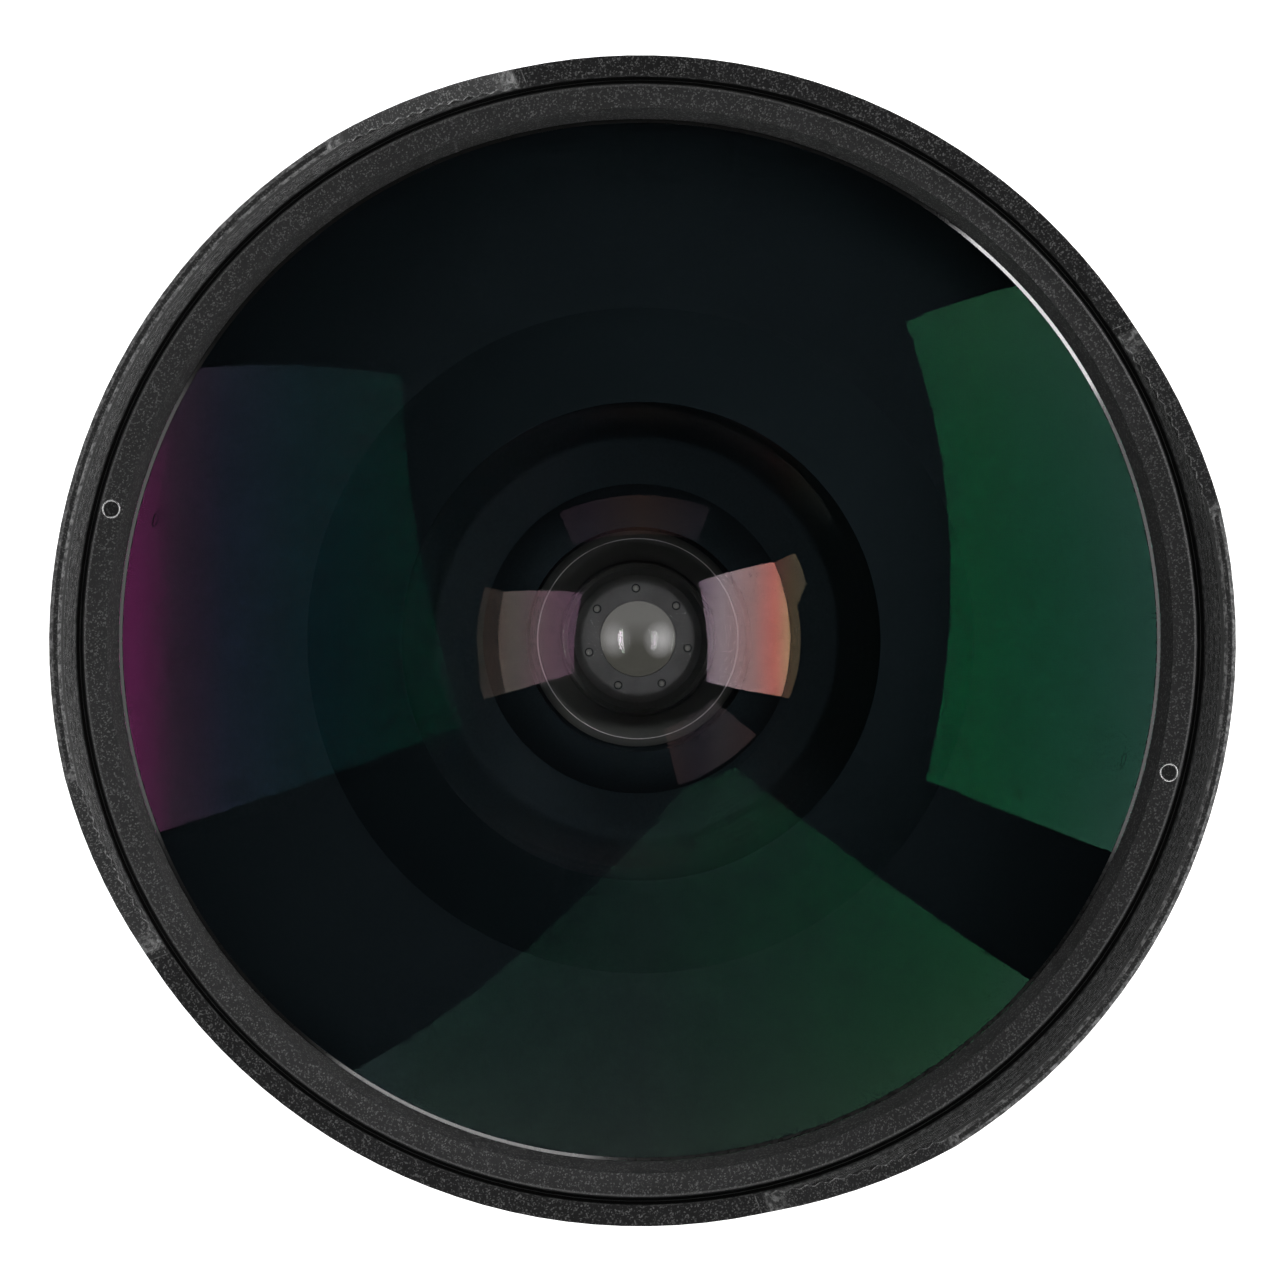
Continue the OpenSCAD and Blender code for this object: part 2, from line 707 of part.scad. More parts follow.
module doublet_rear() {
    color(glass) intersection() {
        disc(glass4_r, glass4_back_z - 1, cement_z);
        bulge_forward(cement_z - fit, cement_curve - fit);
        bulge_back(glass4_back_z, glass4_back);
    }
}

module doublet_retaining_ring() {
    color(blackened) tube(doublet_clear_r, doublet_r + 1 - fit, glass3_rim_z - 0.1 + fit,
        shoulder2_z - ring_gap);
}

module iris_housing() {
    flange_z = plate_top_z - iris_flange_t;
    color(blackened) difference() {
        union() {
            disc(housing_r, housing_z, plate_top_z);
            disc(sleeve_in_r - fit, flange_z, plate_top_z);
        }
        disc(chamber_r + run, housing_z - 1, plate_z);
        disc(iris_open_r, plate_z - 1, plate_top_z + 1);
        for (k = [0 : blade_count - 1]) rotate([0, 0, blade_step * k]) iris_turn()
            translate([pivot_pitch, 0, 0]) disc(blade_pin_r + run, plate_z - 1, plate_top_z + 1);
        sector(fork_in_r - run * 2, fork_corner_r + run * 2, flange_z - 1, plate_top_z + 1,
            fork_angle + aperture_turn / 2, aperture_turn + slot_margin * 2.4);
        sector(chamber_r - 1, housing_r + 1, cam_z - 0.1, cam_top_z + 0.2, fork_angle + aperture_turn / 2,
            aperture_turn + slot_margin * 2.4);
        middle_cell_holes(0.7 + fit, plate_top_z - 1.6, plate_top_z + 1);
    }
}

// Direction of the first blade pivot, shared by everything in the iris
module iris_turn() {
    rotate([0, 0, 24.9]) children();
}

module iris_rear_cover() {
    color(blackened) tube(iris_open_r + 1.4, chamber_r - fit, cover_z, cover_top_z);
}

module rear_cell() {
    shelf5_r = rear_glass_r - 0.8;
    color(blackened) difference() {
        union() {
            disc(chamber_r - fit, rear_cell_z, cover_z - fit);
            disc(last_glass_r + 2.2, rear_cell_z, housing_z - fit);
        }
        disc(shelf5_r, rear_cell_z - 1, far);
        disc(rear_glass_r + fit, rear_cell_z - 1, glass5_z - sag(glass5_front, shelf5_r));
        disc(last_glass_r + fit, rear_cell_z - 1, glass10_z - sag(glass10_front, rear_glass_r) + fit);
    }
}

module fifth_element() {
    color(glass) intersection() {
        disc(rear_glass_r, glass5_z - glass5_t - 1, glass5_z + 1);
        bulge_forward(glass5_z - fit, glass5_front);
        bulge_back(glass5_z - glass5_t, glass5_back);
    }
}

module sixth_element() {
    color(glass) intersection() {
        disc(rear_glass_r, glass67_z - 1, glass6_z + 1);
        bulge_forward(glass6_z, glass6_front);
        bulge_back(glass67_z, glass6_back);
    }
}

module seventh_element() {
    rim_z = glass67_z + sag(glass6_back, rear_glass_r - 0.3);
    color(glass) difference() {
        intersection() {
            disc(rear_glass_r, glass7_back_z - 1, rim_z);
            bulge_back(glass7_back_z, glass7_back);
        }
        bulge_back(glass67_z - fit, glass6_back);
    }
}

module eighth_element() {
    color(glass) difference() {
        disc(rear_glass_r, glass89_z - sag(glass89_curve, rear_glass_r - 0.3),
            glass8_z + sag(glass8_front, rear_glass_r - 0.3));
        bulge_back(glass8_z, glass8_front);
        bulge_forward(glass89_z, glass89_curve);
    }
}

module ninth_element() {
    color(glass) intersection() {
        disc(rear_glass_r - 0.4, glass9_back_z - 1, glass89_z + 1);
        bulge_forward(glass89_z - fit, glass89_curve - fit);
        bulge_back(glass9_back_z, glass9_back);
    }
}

module last_element() {
    color(glass) intersection() {
        disc(last_glass_r, glass10_back_z, glass10_z + 1);
        bulge_forward(glass10_z, glass10_front);
    }
}

// A spacer between two rims of the rear cell
module rear_cell_spacer(z0, z1) {
    color(blackened) tube(rear_glass_r - 0.5, rear_glass_r, z0, z1);
}

module rear_spacer() {
    rim5_z = glass5_z - glass5_t + sag(glass5_back, rear_glass_r - 0.5);
    rim6_z = glass6_z - sag(glass6_front, rear_glass_r - 0.5);
    rear_cell_spacer(rim6_z + fit, rim5_z - fit);
}

module last_spacer() {
    rim7_z = glass7_back_z + sag(glass7_back, rear_glass_r - 0.5);
    rim8_z = glass8_z + sag(glass8_front, rear_glass_r - 0.3);
    rear_cell_spacer(rim8_z + fit, rim7_z - fit);
}

module rear_retaining_ring() {
    color(blackened) difference() {
        tube(last_glass_r - 0.8, last_glass_r, rear_cell_z, glass10_back_z - fit);
        for (a = [0, 90]) rotate([0, 0, a]) translate([-far / 2, -0.4, rear_cell_z - 1])
            cube([far, 0.8, 1.6]);
    }
}

module aperture_retainer() {
    color(anodised) tube(land_r + fit, land_r + 1.1, retainer_z, retainer_top);
}

module click_ball() {
    color(steel) rotate([0, 0, click_angle]) translate([land_r - click_ball_r - fit, 0, click_z])
        sphere(r = click_ball_r, $fn = 48);
}

module click_spring() {
    spring_out_r = land_in_r - fit;
    color(steel) union() {
        sector(spring_out_r - 0.3, spring_out_r, click_z - 1, click_z + 1, click_angle, 24);
        radial_pin(0.5, click_angle, click_z, spring_out_r - 0.2, land_r - click_ball_r * 2 - fit * 2);
    }
}

// Turning aperture part

module aperture_ring() {
    band_r = aperture_r - 0.4;
    grip_top_z = aperture_top - 3.2;
    bore_r = land_r + run;
    color(anodised) difference() {
        union() {
            translate([0, 0, aperture_z]) linear_extrude(grip_top_z - aperture_z)
                ribbed(aperture_r, 0.5, aperture_ribs);
            disc(band_r, grip_top_z, aperture_top);
        }
        disc(bore_r, aperture_z - 1, aperture_top + 1);
        for (k = [0 : click_stops - 1])
            rotate([0, 0, click_angle - aperture_turn * k / (click_stops - 1)]) translate([bore_r, 0, 0])
                disc(0.3, click_z - 0.8, aperture_top + 1);
        radial_pin(drive_pin_r + fit, fork_angle, drive_pin_z, land_r - 1, aperture_r - 0.8);
    }
}

module aperture_drive_pin() {
    color(steel) radial_pin(drive_pin_r, fork_angle, drive_pin_z, fork_in_r, aperture_r - 0.8 - fit);
}

module aperture_fork() {
    color(brass) rotate([0, 0, fork_angle]) difference() {
        translate([fork_in_r, -fork_w / 2, cam_z]) cube([fork_t - run, fork_w, drive_pin_z + 2.2 - cam_z]);
        translate([fork_in_r - 1, -lug_w / 2 - fit, cam_z - 1])
            cube([fork_t + 2, lug_w + fit * 2, cam_t + 1.5]);
        translate([0, 0, drive_pin_z]) rotate([0, 90, 0]) cylinder(r = drive_pin_r + fit, h = far);
    }
}

// Where a blade's drive pin is, seen from the turning cam ring, when the ring has turned by t degrees
function drive_path(t) = turned(pivot_at + turned(drive_at - pivot_at, t * blade_ratio), -t);
function path_side(t, w) =
    let (d = drive_path(t + 0.5) - drive_path(t - 0.5)) drive_path(t) + w * [-d[1], d[0]] / norm(d);

function round_end(t, side, w) =
    let (c = drive_path(t), p = path_side(t, side * w) - c)
    [for (k = [1 : 7]) c + turned(p, -180 * k / 8)];

module cam_slot() {
    w = blade_pin_r + run;
    steps = 12;
    polygon(concat(
        [for (k = [0 : steps]) path_side(aperture_turn * k / steps, w)],
        round_end(aperture_turn, 1, w),
        [for (k = [steps : -1 : 0]) path_side(aperture_turn * k / steps, -w)],
        round_end(0, -1, w)
    ));
}

module iris_cam_ring() {
    color(steel) difference() {
        union() {
            disc(chamber_r, cam_z, cam_top_z);
            rotate([0, 0, fork_angle]) translate([chamber_r - 1, -lug_w / 2, cam_z])
                cube([fork_in_r + fork_t - run - chamber_r + 1, lug_w, cam_t]);
        }
        disc(cam_in_r, cam_z - 1, cam_top_z + 1);
        for (k = [0 : blade_count - 1]) rotate([0, 0, blade_step * k]) iris_turn()
            translate([0, 0, cam_z - 1]) linear_extrude(cam_t + 2) cam_slot();
    }
}

// Iris blades

module blade_outline() {
    tail = 4;
    head = 112;
    union() {
        difference() {
            circle(r = blade_out_r);
            circle(r = blade_in_r);
            polygon([
                [0, 0],
                for (a = [head : (360 - tail - head) / 6 : 360 - tail]) 30 * [cos(a), sin(a)]
            ]);
        }
        translate(pivot_at) circle(r = 0.9);
        translate(drive_at) circle(r = blade_pad_r);
    }
}

module iris_blade(k) {
    color(blackened) rotate([0, 0, blade_step * (k - 1)]) iris_turn() union() {
        intersection() {
            translate([0, 0, cam_top_z]) linear_extrude(plate_z - cam_top_z) blade_outline();
            translate([pivot_pitch, 0, pivot_z]) rotate([0, 0, lean_angle]) rotate([0, atan(blade_lean), 0])
                cube([60, 60, blade_t], center = true);
        }
        translate(concat(pivot_at, pivot_z)) cylinder(r = blade_pin_r, h = plate_top_z - pivot_z + 0.12);
        translate(concat(drive_at, cam_z)) cylinder(r = blade_pin_r, h = drive_z - cam_z);
    }
}

mount_plate();
mount_screws();
rear_baffle();
rear_barrel();
mount_index_dot();
guide_keys();
focus_retainer();
focus_stop_pin();
focus_ring();
helicoid_ring();
focus_set_screws();
helicoid_sleeve();
front_cell();
cell_set_screws();
petal_hood();
hood_set_screws();
front_retaining_ring();
front_seal();
front_element();
second_element();
second_retaining_ring();
middle_cell();
middle_cell_screws();
doublet_front();
doublet_rear();
doublet_retaining_ring();
iris_housing();
iris_rear_cover();
rear_cell();
fifth_element();
sixth_element();
seventh_element();
eighth_element();
ninth_element();
last_element();
rear_spacer();
last_spacer();
rear_retaining_ring();
aperture_retainer();
click_ball();
click_spring();
aperture_ring();
aperture_drive_pin();
aperture_fork();
iris_cam_ring();
iris_blade(1);  // iris_blade_1
iris_blade(2);  // iris_blade_2
iris_blade(3);  // iris_blade_3
iris_blade(4);  // iris_blade_4
iris_blade(5);  // iris_blade_5
iris_blade(6);  // iris_blade_6
iris_blade(7);  // iris_blade_7
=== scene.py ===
"""Looks of a fisheye lens with a two-petal hood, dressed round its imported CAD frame.

Metres throughout. The optical axis is Z, the front glass looks up, and the lens stands on its bayonet.
"""

import json
import math

import bmesh
import bpy
import numpy as np
from mathutils import Matrix, Vector


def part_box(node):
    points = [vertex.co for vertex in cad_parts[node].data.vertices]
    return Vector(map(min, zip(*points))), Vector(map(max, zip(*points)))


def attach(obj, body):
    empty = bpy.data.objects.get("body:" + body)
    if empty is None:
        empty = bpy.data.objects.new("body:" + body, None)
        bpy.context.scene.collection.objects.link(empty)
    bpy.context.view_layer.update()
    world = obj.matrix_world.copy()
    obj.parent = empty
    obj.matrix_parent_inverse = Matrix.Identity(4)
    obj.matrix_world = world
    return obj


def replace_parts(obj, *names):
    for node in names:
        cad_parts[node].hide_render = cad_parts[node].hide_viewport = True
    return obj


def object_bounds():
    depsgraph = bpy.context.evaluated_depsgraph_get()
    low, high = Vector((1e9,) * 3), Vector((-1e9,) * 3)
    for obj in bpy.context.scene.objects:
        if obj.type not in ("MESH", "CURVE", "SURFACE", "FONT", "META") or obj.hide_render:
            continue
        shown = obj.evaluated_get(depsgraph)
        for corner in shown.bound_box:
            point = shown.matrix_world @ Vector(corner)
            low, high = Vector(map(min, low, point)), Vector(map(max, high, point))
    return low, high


MM = 0.001

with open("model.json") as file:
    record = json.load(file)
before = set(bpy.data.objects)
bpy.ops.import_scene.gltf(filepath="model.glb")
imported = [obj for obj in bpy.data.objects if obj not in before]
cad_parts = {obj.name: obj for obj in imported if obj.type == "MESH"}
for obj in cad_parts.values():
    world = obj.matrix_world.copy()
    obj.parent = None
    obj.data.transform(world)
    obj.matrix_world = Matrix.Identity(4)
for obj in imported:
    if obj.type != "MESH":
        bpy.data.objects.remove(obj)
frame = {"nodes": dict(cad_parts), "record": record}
nodes = frame["nodes"]
cad_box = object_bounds()
slot_of = {part["node"]: part["material_slot"] for part in frame["record"]["subparts"]}


def ends(name):
    """Lowest height, highest height and outer radius of a CAD node."""
    low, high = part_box(name)
    return low.z, high.z, high.x


# Sizes that several pieces and finishes share

HOOD_BASE, HOOD_TOP, HOOD_R = ends("petal_hood")
PETAL_RISE = 9 * MM
LOW_RIM = HOOD_TOP - PETAL_RISE
HOOD_NECK_R = 35.8 * MM
HOOD_CONE = 4 * MM
GROOVE_R = 36.62 * MM
FRONT_CURVE = 56 * MM

# Directions of the photograph

PHOTO_UP = math.radians(22.5)
PHOTO_LEFT = PHOTO_UP + math.radians(90)
UP = Vector((math.cos(PHOTO_UP), math.sin(PHOTO_UP), 0))
RIGHT = Vector((math.sin(PHOTO_UP), -math.cos(PHOTO_UP), 0))
AXIS = Vector((0, 0, 1))


# Node-tree helpers


def new_material(name):
    """A node material: itself, its tree, its Principled shader and the Object coordinates."""
    material = bpy.data.materials.new(name)
    material.use_nodes = True
    tree = material.node_tree
    return material, tree, tree.nodes["Principled BSDF"], object_place(tree)


def object_place(tree):
    """The Object coordinates."""
    return tree.nodes.new("ShaderNodeTexCoord").outputs["Object"]


def face_normal(tree):
    """The direction of the face itself, before any bump."""
    return tree.nodes.new("ShaderNodeNewGeometry").outputs["True Normal"]


def feed(tree, socket, value):
    """Sets an input socket to a plain value, or links it from another socket."""
    if isinstance(value, bpy.types.NodeSocket):
        tree.links.new(value, socket)
    else:
        socket.default_value = value


def add_node(tree, kind, settings=None, **inputs):
    """A node with its settings, and its named inputs fed with values or sockets."""
    node = tree.nodes.new(kind)
    for key, value in (settings or {}).items():
        setattr(node, key, value)
    for key, value in inputs.items():
        feed(tree, node.inputs[key.replace("_", " ").title()], value)
    return node


def noise(tree, place, size, detail=2.0, roughness=0.5):
    """Noise whose grains are about size metres across."""
    return add_node(tree, "ShaderNodeTexNoise", vector=place, scale=1 / size, detail=detail,
                    roughness=roughness).outputs["Fac"]


def remap(tree, value, low, high, to_low, to_high):
    """A value mapped from one range to another, and held at its ends."""
    return add_node(tree, "ShaderNodeMapRange", value=value, from_min=low, from_max=high,
                    to_min=to_low, to_max=to_high).outputs["Result"]


def spread(tree, value, to_low, to_high):
    """Noise, which lies mostly between 0.3 and 0.7, mapped to a range."""
    return remap(tree, value, 0.3, 0.7, to_low, to_high)


def math_node(tree, operation, a, b=0.0):
    """One arithmetic step on sockets or numbers."""
    node = add_node(tree, "ShaderNodeMath", {"operation": operation})
    for socket, value in zip(node.inputs, (a, b)):
        feed(tree, socket, value)
    return node.outputs["Value"]


def product(tree, *factors):
    """Several factors multiplied together."""
    result = factors[0]
    for factor in factors[1:]:
        result = math_node(tree, "MULTIPLY", result, factor)
    return result


def vector_step(tree, operation, a, b=(0, 0, 0)):
    """A step on vectors that gives a number, such as their dot product or their distance."""
    node = add_node(tree, "ShaderNodeVectorMath", {"operation": operation})
    for socket, value in zip(node.inputs, (a, b)):
        feed(tree, socket, value)
    return node.outputs["Value"]


def from_axis(tree, place):
    """The split coordinates of a place, and its distance from the optical axis."""
    split = add_node(tree, "ShaderNodeSeparateXYZ", vector=place).outputs
    squares = [math_node(tree, "POWER", split[axis], 2.0) for axis in "XY"]
    return split, math_node(tree, "SQRT", math_node(tree, "ADD", *squares))


def blend_colours(tree, factor, first, second):
    """A mix of two colours, each a tuple or a socket.

    The node has its colours at inputs 6 and 7 and at output 2, after those for other kinds of value."""
    node = add_node(tree, "ShaderNodeMix", {"data_type": "RGBA"}, factor=factor)
    feed(tree, node.inputs[6], first)
    feed(tree, node.inputs[7], second)
    return node.outputs[2]


def rounded(tree, radius):
    """The normal of the piece as if its edges were rounded."""
    return add_node(tree, "ShaderNodeBevel", {"samples": 4}, radius=radius).outputs["Normal"]


def find_edges(tree, radius, share):
    """The rounded normal, and where it leaves the face's own: share on an edge, and 0 away from edges."""
    normal = rounded(tree, radius)
    bend = vector_step(tree, "DOT_PRODUCT", normal, face_normal(tree))
    return normal, remap(tree, bend, 0.75, 0.98, share, 0.0)


def dent(tree, shader, height, strength, depth, normal=None):
    """Fine dents by a height, on top of another normal where there is one."""
    bump = add_node(tree, "ShaderNodeBump", strength=strength, distance=depth, height=height)
    if normal:
        feed(tree, bump.inputs["Normal"], normal)
    feed(tree, shader.inputs["Normal"], bump.outputs["Normal"])


def grey(level, tint=0.0):
    """A grey with a little more blue by tint."""
    return (level, level, level * (1 + tint), 1)


def shaded(colour, share):
    """A colour dimmed or lifted by a share."""
    return (*(share * c for c in colour), 1)


# Finishes


def blasted_black(name, level, grain, sparkle, roughness, edge_wear=0.35, edge_r=0.12 * MM):
    """Black anodised metal, bead-blasted: fine pits, bright grains painted in as glints, and worn edges.

    level is how grey the black is, and sparkle what its brightest grains add to that."""
    material, tree, shader, place = new_material(name)
    pits = noise(tree, place, grain, 3.0, 0.6)
    cloud = noise(tree, place, grain * 60, 3.0)
    grains = add_node(tree, "ShaderNodeTexVoronoi", vector=place, scale=0.8 / grain).outputs["Color"]
    split = add_node(tree, "ShaderNodeSeparateColor", color=grains)
    # The brightest grains are lighter in colour, as painted glints
    spark = remap(tree, split.outputs["Red"], 0.72, 1.0, 0.0, 1.0)
    body = blend_colours(tree, spread(tree, cloud, 0, 1), grey(level * 0.8), grey(level * 1.15, 0.04))
    speckled = blend_colours(tree, spark, body, grey(level + sparkle))
    normal, edge = find_edges(tree, edge_r, edge_wear)
    worn = blend_colours(tree, product(tree, edge, pits), speckled, grey(0.3))
    feed(tree, shader.inputs["Base Color"], worn)
    feed(tree, shader.inputs["Roughness"], spread(tree, pits, roughness - 0.08, roughness + 0.1))
    shader.inputs["Specular IOR Level"].default_value = 0.5
    dent(tree, shader, pits, 0.35, 0.03 * MM, normal)
    return material


def hood_wear_and_painted_light(material):
    """The hood's wear and painted light, on top of a blasted finish.

    The ridged inner wall of the petals carries painted highlight bands and the tip a painted highlight, the
    edges where the ridge ends break the flanks get painted glints in places, the corners of the flanks are
    scuffed and carry painted highlights, and the groove is painted deep black as shade. A face that looks
    towards the axis belongs to the inner wall, and one that leans belongs to a flank."""
    band = 2.3 * MM
    tree = material.node_tree
    shader = tree.nodes["Principled BSDF"]
    place = object_place(tree)
    split, radius = from_axis(tree, place)
    height = split["Z"]
    normal = face_normal(tree)
    lean = add_node(tree, "ShaderNodeSeparateXYZ", vector=normal).outputs["Z"]
    plan = add_node(tree, "ShaderNodeCombineXYZ", x=split["X"], y=split["Y"]).outputs["Vector"]
    outward = vector_step(tree, "DOT_PRODUCT", plan, normal)

    inner_wall = remap(tree, outward, -20 * MM, -12 * MM, 1.0, 0.0)
    flank = product(tree, remap(tree, lean, 0.2, 0.3, 0.0, 1.0), remap(tree, lean, 0.85, 0.95, 1.0, 0.0))
    petal = remap(tree, height, LOW_RIM + 0.15 * MM, LOW_RIM + 0.45 * MM, 0.0, 1.0)
    patches = remap(tree, noise(tree, place, 0.35 * MM, 3.0, 0.6), 0.45, 0.65, 0.1, 0.9)

    # Painted highlight bands along the ridged inner wall, in step with height
    wave = math_node(tree, "SINE", math_node(tree, "MULTIPLY", height, 2 * math.pi / band))
    ridge_highlight_bands = product(tree, remap(tree, wave, 0.2, 0.8, 0.0, 0.9), inner_wall, petal)
    # A painted highlight along the tip of each petal
    rim = remap(tree, height, HOOD_TOP - 0.2 * MM, HOOD_TOP - 0.05 * MM, 0.0, 0.2)
    on_flank = remap(tree, flank, 0.0, 1.0, 0.15, 1.0)
    off_outside = remap(tree, radius, HOOD_R - 0.5 * MM, HOOD_R - 0.2 * MM, 1.0, 0.1)
    # Painted glints on the edges where the ridge ends break the flanks, broken up in patches
    tooth_glints = product(tree, find_edges(tree, 0.15 * MM, 1.0)[1], petal, on_flank, patches, off_outside)
    # Scuffs on the corners of the flanks, at the foot and the tip, which are partly painted highlights
    foot = remap(tree, height, LOW_RIM + 0.25 * MM, LOW_RIM + 1.25 * MM, 1.0, 0.0)
    tip = remap(tree, height, HOOD_TOP - 0.85 * MM, HOOD_TOP - 0.15 * MM, 0.0, 1.0)
    scuffs = product(tree, flank, math_node(tree, "MAXIMUM", foot, tip), patches)
    # Painted shade: the groove round the ring is made deep black
    groove = remap(tree, radius, GROOVE_R, GROOVE_R + 0.1 * MM, 1.0, 0.0)

    colour = shader.inputs["Base Color"].links[0].from_socket
    # Painted highlights and glints lighten the colour, the scuffs add wear and painted highlights, and the
    # groove painted shade
    ridge_and_tip_highlights = math_node(tree, "MAXIMUM", ridge_highlight_bands, rim)
    for share, level in ((ridge_and_tip_highlights, 0.045), (tooth_glints, 0.75), (scuffs, 0.22), (groove, 0.002)):
        colour = blend_colours(tree, share, colour, grey(level))
    feed(tree, shader.inputs["Base Color"], colour)
    feed(tree, shader.inputs["Specular IOR Level"], remap(tree, groove, 0.0, 1.0, 0.22, 0.05))
    return material


def matt_black(name, colour, grain, shine=0.3):
    """Black paint or flock with hardly any shine."""
    material, tree, shader, place = new_material(name)
    dust = noise(tree, place, grain, 4.0)
    tone = blend_colours(tree, dust, shaded(colour, 0.6), shaded(colour, 1.4))
    feed(tree, shader.inputs["Base Color"], tone)
    feed(tree, shader.inputs["Roughness"], spread(tree, dust, 0.7, 0.9))
    shader.inputs["Specular IOR Level"].default_value = shine
    dent(tree, shader, dust, 0.2, 0.02 * MM)
    return material


def turned_metal(name, colour, roughness, groove, wear):
    """Metal turned on a lathe: fine grooves that follow the distance from the axis, and a few scuffs."""
    material, tree, shader, place = new_material(name)
    split, radius = from_axis(tree, place)
    path = add_node(tree, "ShaderNodeCombineXYZ", x=radius, y=split["Z"])
    lines = noise(tree, path.outputs["Vector"], groove, 2.0)
    scuffs = remap(tree, noise(tree, place, 2.5 * MM, 6.0, 0.7), 0.45, 0.75, 0.0, wear)
    feed(tree, shader.inputs["Base Color"], blend_colours(tree, scuffs, (*colour, 1), shaded(colour, 0.72)))
    shader.inputs["Metallic"].default_value = 1.0
    feed(tree, shader.inputs["Roughness"], spread(tree, lines, roughness * 0.8, roughness * 1.25))
    dent(tree, shader, lines, 0.12, 0.01 * MM, rounded(tree, 0.1 * MM))
    return material


def coated_glass(name, index, reflection, stops=None):
    """Polished glass whose coating lets only a little coloured light reflect.

    reflection tints the mirror share. stops are for a coating laid down unevenly, whose tint changes towards
    the left of the photograph: each is a (distance from the axis, tint) pair. Rays from lamps go straight
    through, so that what lies behind the glass is lit."""
    material, tree, shader, place = new_material(name)
    shader.inputs["Base Color"].default_value = (1, 1, 1, 1)
    shader.inputs["Transmission Weight"].default_value = 1.0
    shader.inputs["Roughness"].default_value = 0.0
    shader.inputs["IOR"].default_value = index
    shader.inputs["Specular Tint"].default_value = (*reflection, 1)
    if stops:
        along = vector_step(tree, "DOT_PRODUCT", place, (math.cos(PHOTO_LEFT), math.sin(PHOTO_LEFT), 0))
        near, far = stops[0][0], stops[-1][0]
        ramp = tree.nodes.new("ShaderNodeValToRGB")
        feed(tree, ramp.inputs["Fac"], remap(tree, along, near, far, 0, 1))
        marks = ramp.color_ramp.elements
        while len(marks) < len(stops):
            marks.new(0.5)
        for mark, (distance, tint) in zip(marks, stops):
            mark.position = (distance - near) / (far - near)
            mark.color = (*tint, 1)
        feed(tree, shader.inputs["Specular Tint"], ramp.outputs["Color"])
    clear = tree.nodes.new("ShaderNodeBsdfTransparent")
    lamp = tree.nodes.new("ShaderNodeLightPath").outputs["Is Shadow Ray"]
    mix = tree.nodes.new("ShaderNodeMixShader")
    for socket, value in zip(mix.inputs, (lamp, shader.outputs[0], clear.outputs[0])):
        feed(tree, socket, value)
    feed(tree, tree.nodes["Material Output"].inputs["Surface"], mix.outputs[0])
    return material


def cement_seam(name):
    """The face of a cemented glass that its partner already stands for: light goes straight on."""
    material, tree, _, _ = new_material(name)
    clear = tree.nodes.new("ShaderNodeBsdfTransparent")
    feed(tree, tree.nodes["Material Output"].inputs["Surface"], clear.outputs[0])
    return material


def soft_gloss(name, colour, roughness, grain):
    """Rubber, plastic or enamel in one colour, with a faint mottle."""
    material, tree, shader, place = new_material(name)
    mottle = noise(tree, place, grain, 3.0)
    feed(tree, shader.inputs["Base Color"], blend_colours(tree, mottle, shaded(colour, 0.75), (*colour, 1)))
    feed(tree, shader.inputs["Roughness"], spread(tree, mottle, roughness * 0.85, roughness * 1.2))
    return material


HOOD_BLACK = hood_wear_and_painted_light(blasted_black("hood_black", level=0.009, grain=0.07 * MM, sparkle=0.1, roughness=0.5,
                                    edge_wear=0.2))
RING_BLACK = blasted_black("ring_black", level=0.018, grain=0.07 * MM, sparkle=0.12, roughness=0.55,
                           edge_wear=0.0, edge_r=0.0)
BARREL_BLACK = blasted_black("barrel_black", level=0.008, grain=0.08 * MM, sparkle=0.012, roughness=0.46)
GRIP_BLACK = blasted_black("grip_black", level=0.007, grain=0.08 * MM, sparkle=0.01, roughness=0.42)
PLATE_GREY = blasted_black("plate_grey", level=0.09, grain=0.05 * MM, sparkle=0.03, roughness=0.4)

INNER_BLACK = matt_black("inner_black", (0.008, 0.0115, 0.013), grain=0.1 * MM, shine=0.12)
CELL_SATIN = matt_black("cell_satin", (0.07, 0.073, 0.07), grain=0.1 * MM, shine=0.4)
BAFFLE_FLOCK = matt_black("baffle_flock", (0.015, 0.015, 0.015), grain=0.2 * MM)
# Glass blackening: the hollow's and second element's copies of the edge paint have tones set by their light,
# as painted light and shade
EDGE_PAINT = matt_black("edge_paint", (0.0031, 0.0045, 0.0054), grain=0.2 * MM, shine=0.0)
HOLLOW_LIGHT_MATCHED_PAINT = matt_black("hollow_light_matched_paint", (0.0028, 0.0042, 0.005), grain=0.2 * MM, shine=0.0)
SECOND_LIGHTENED_PAINT = matt_black("second_lightened_paint", (0.0077, 0.0112, 0.0133), grain=0.2 * MM, shine=0.0)

BRIGHT_EDGE = turned_metal("bright_edge", (0.6, 0.6, 0.6), roughness=0.25, groove=0.05 * MM, wear=0.2)
BLADE_BLACK = turned_metal("blade_black", (0.07, 0.07, 0.075), roughness=0.45, groove=0.05 * MM, wear=0.4)
MOUNT_CHROME = turned_metal("mount_chrome", (0.74, 0.74, 0.75), roughness=0.22, groove=0.04 * MM, wear=0.3)
SCREW_STEEL = turned_metal("screw_steel", (0.55, 0.55, 0.57), roughness=0.3, groove=0.05 * MM, wear=0.3)
SCREW_BLACK = turned_metal("screw_black", (0.06, 0.06, 0.06), roughness=0.4, groove=0.05 * MM, wear=0.3)
HELICOID_BRASS = turned_metal("helicoid_brass", (0.72, 0.52, 0.22), roughness=0.32, groove=0.05 * MM,
                              wear=0.5)

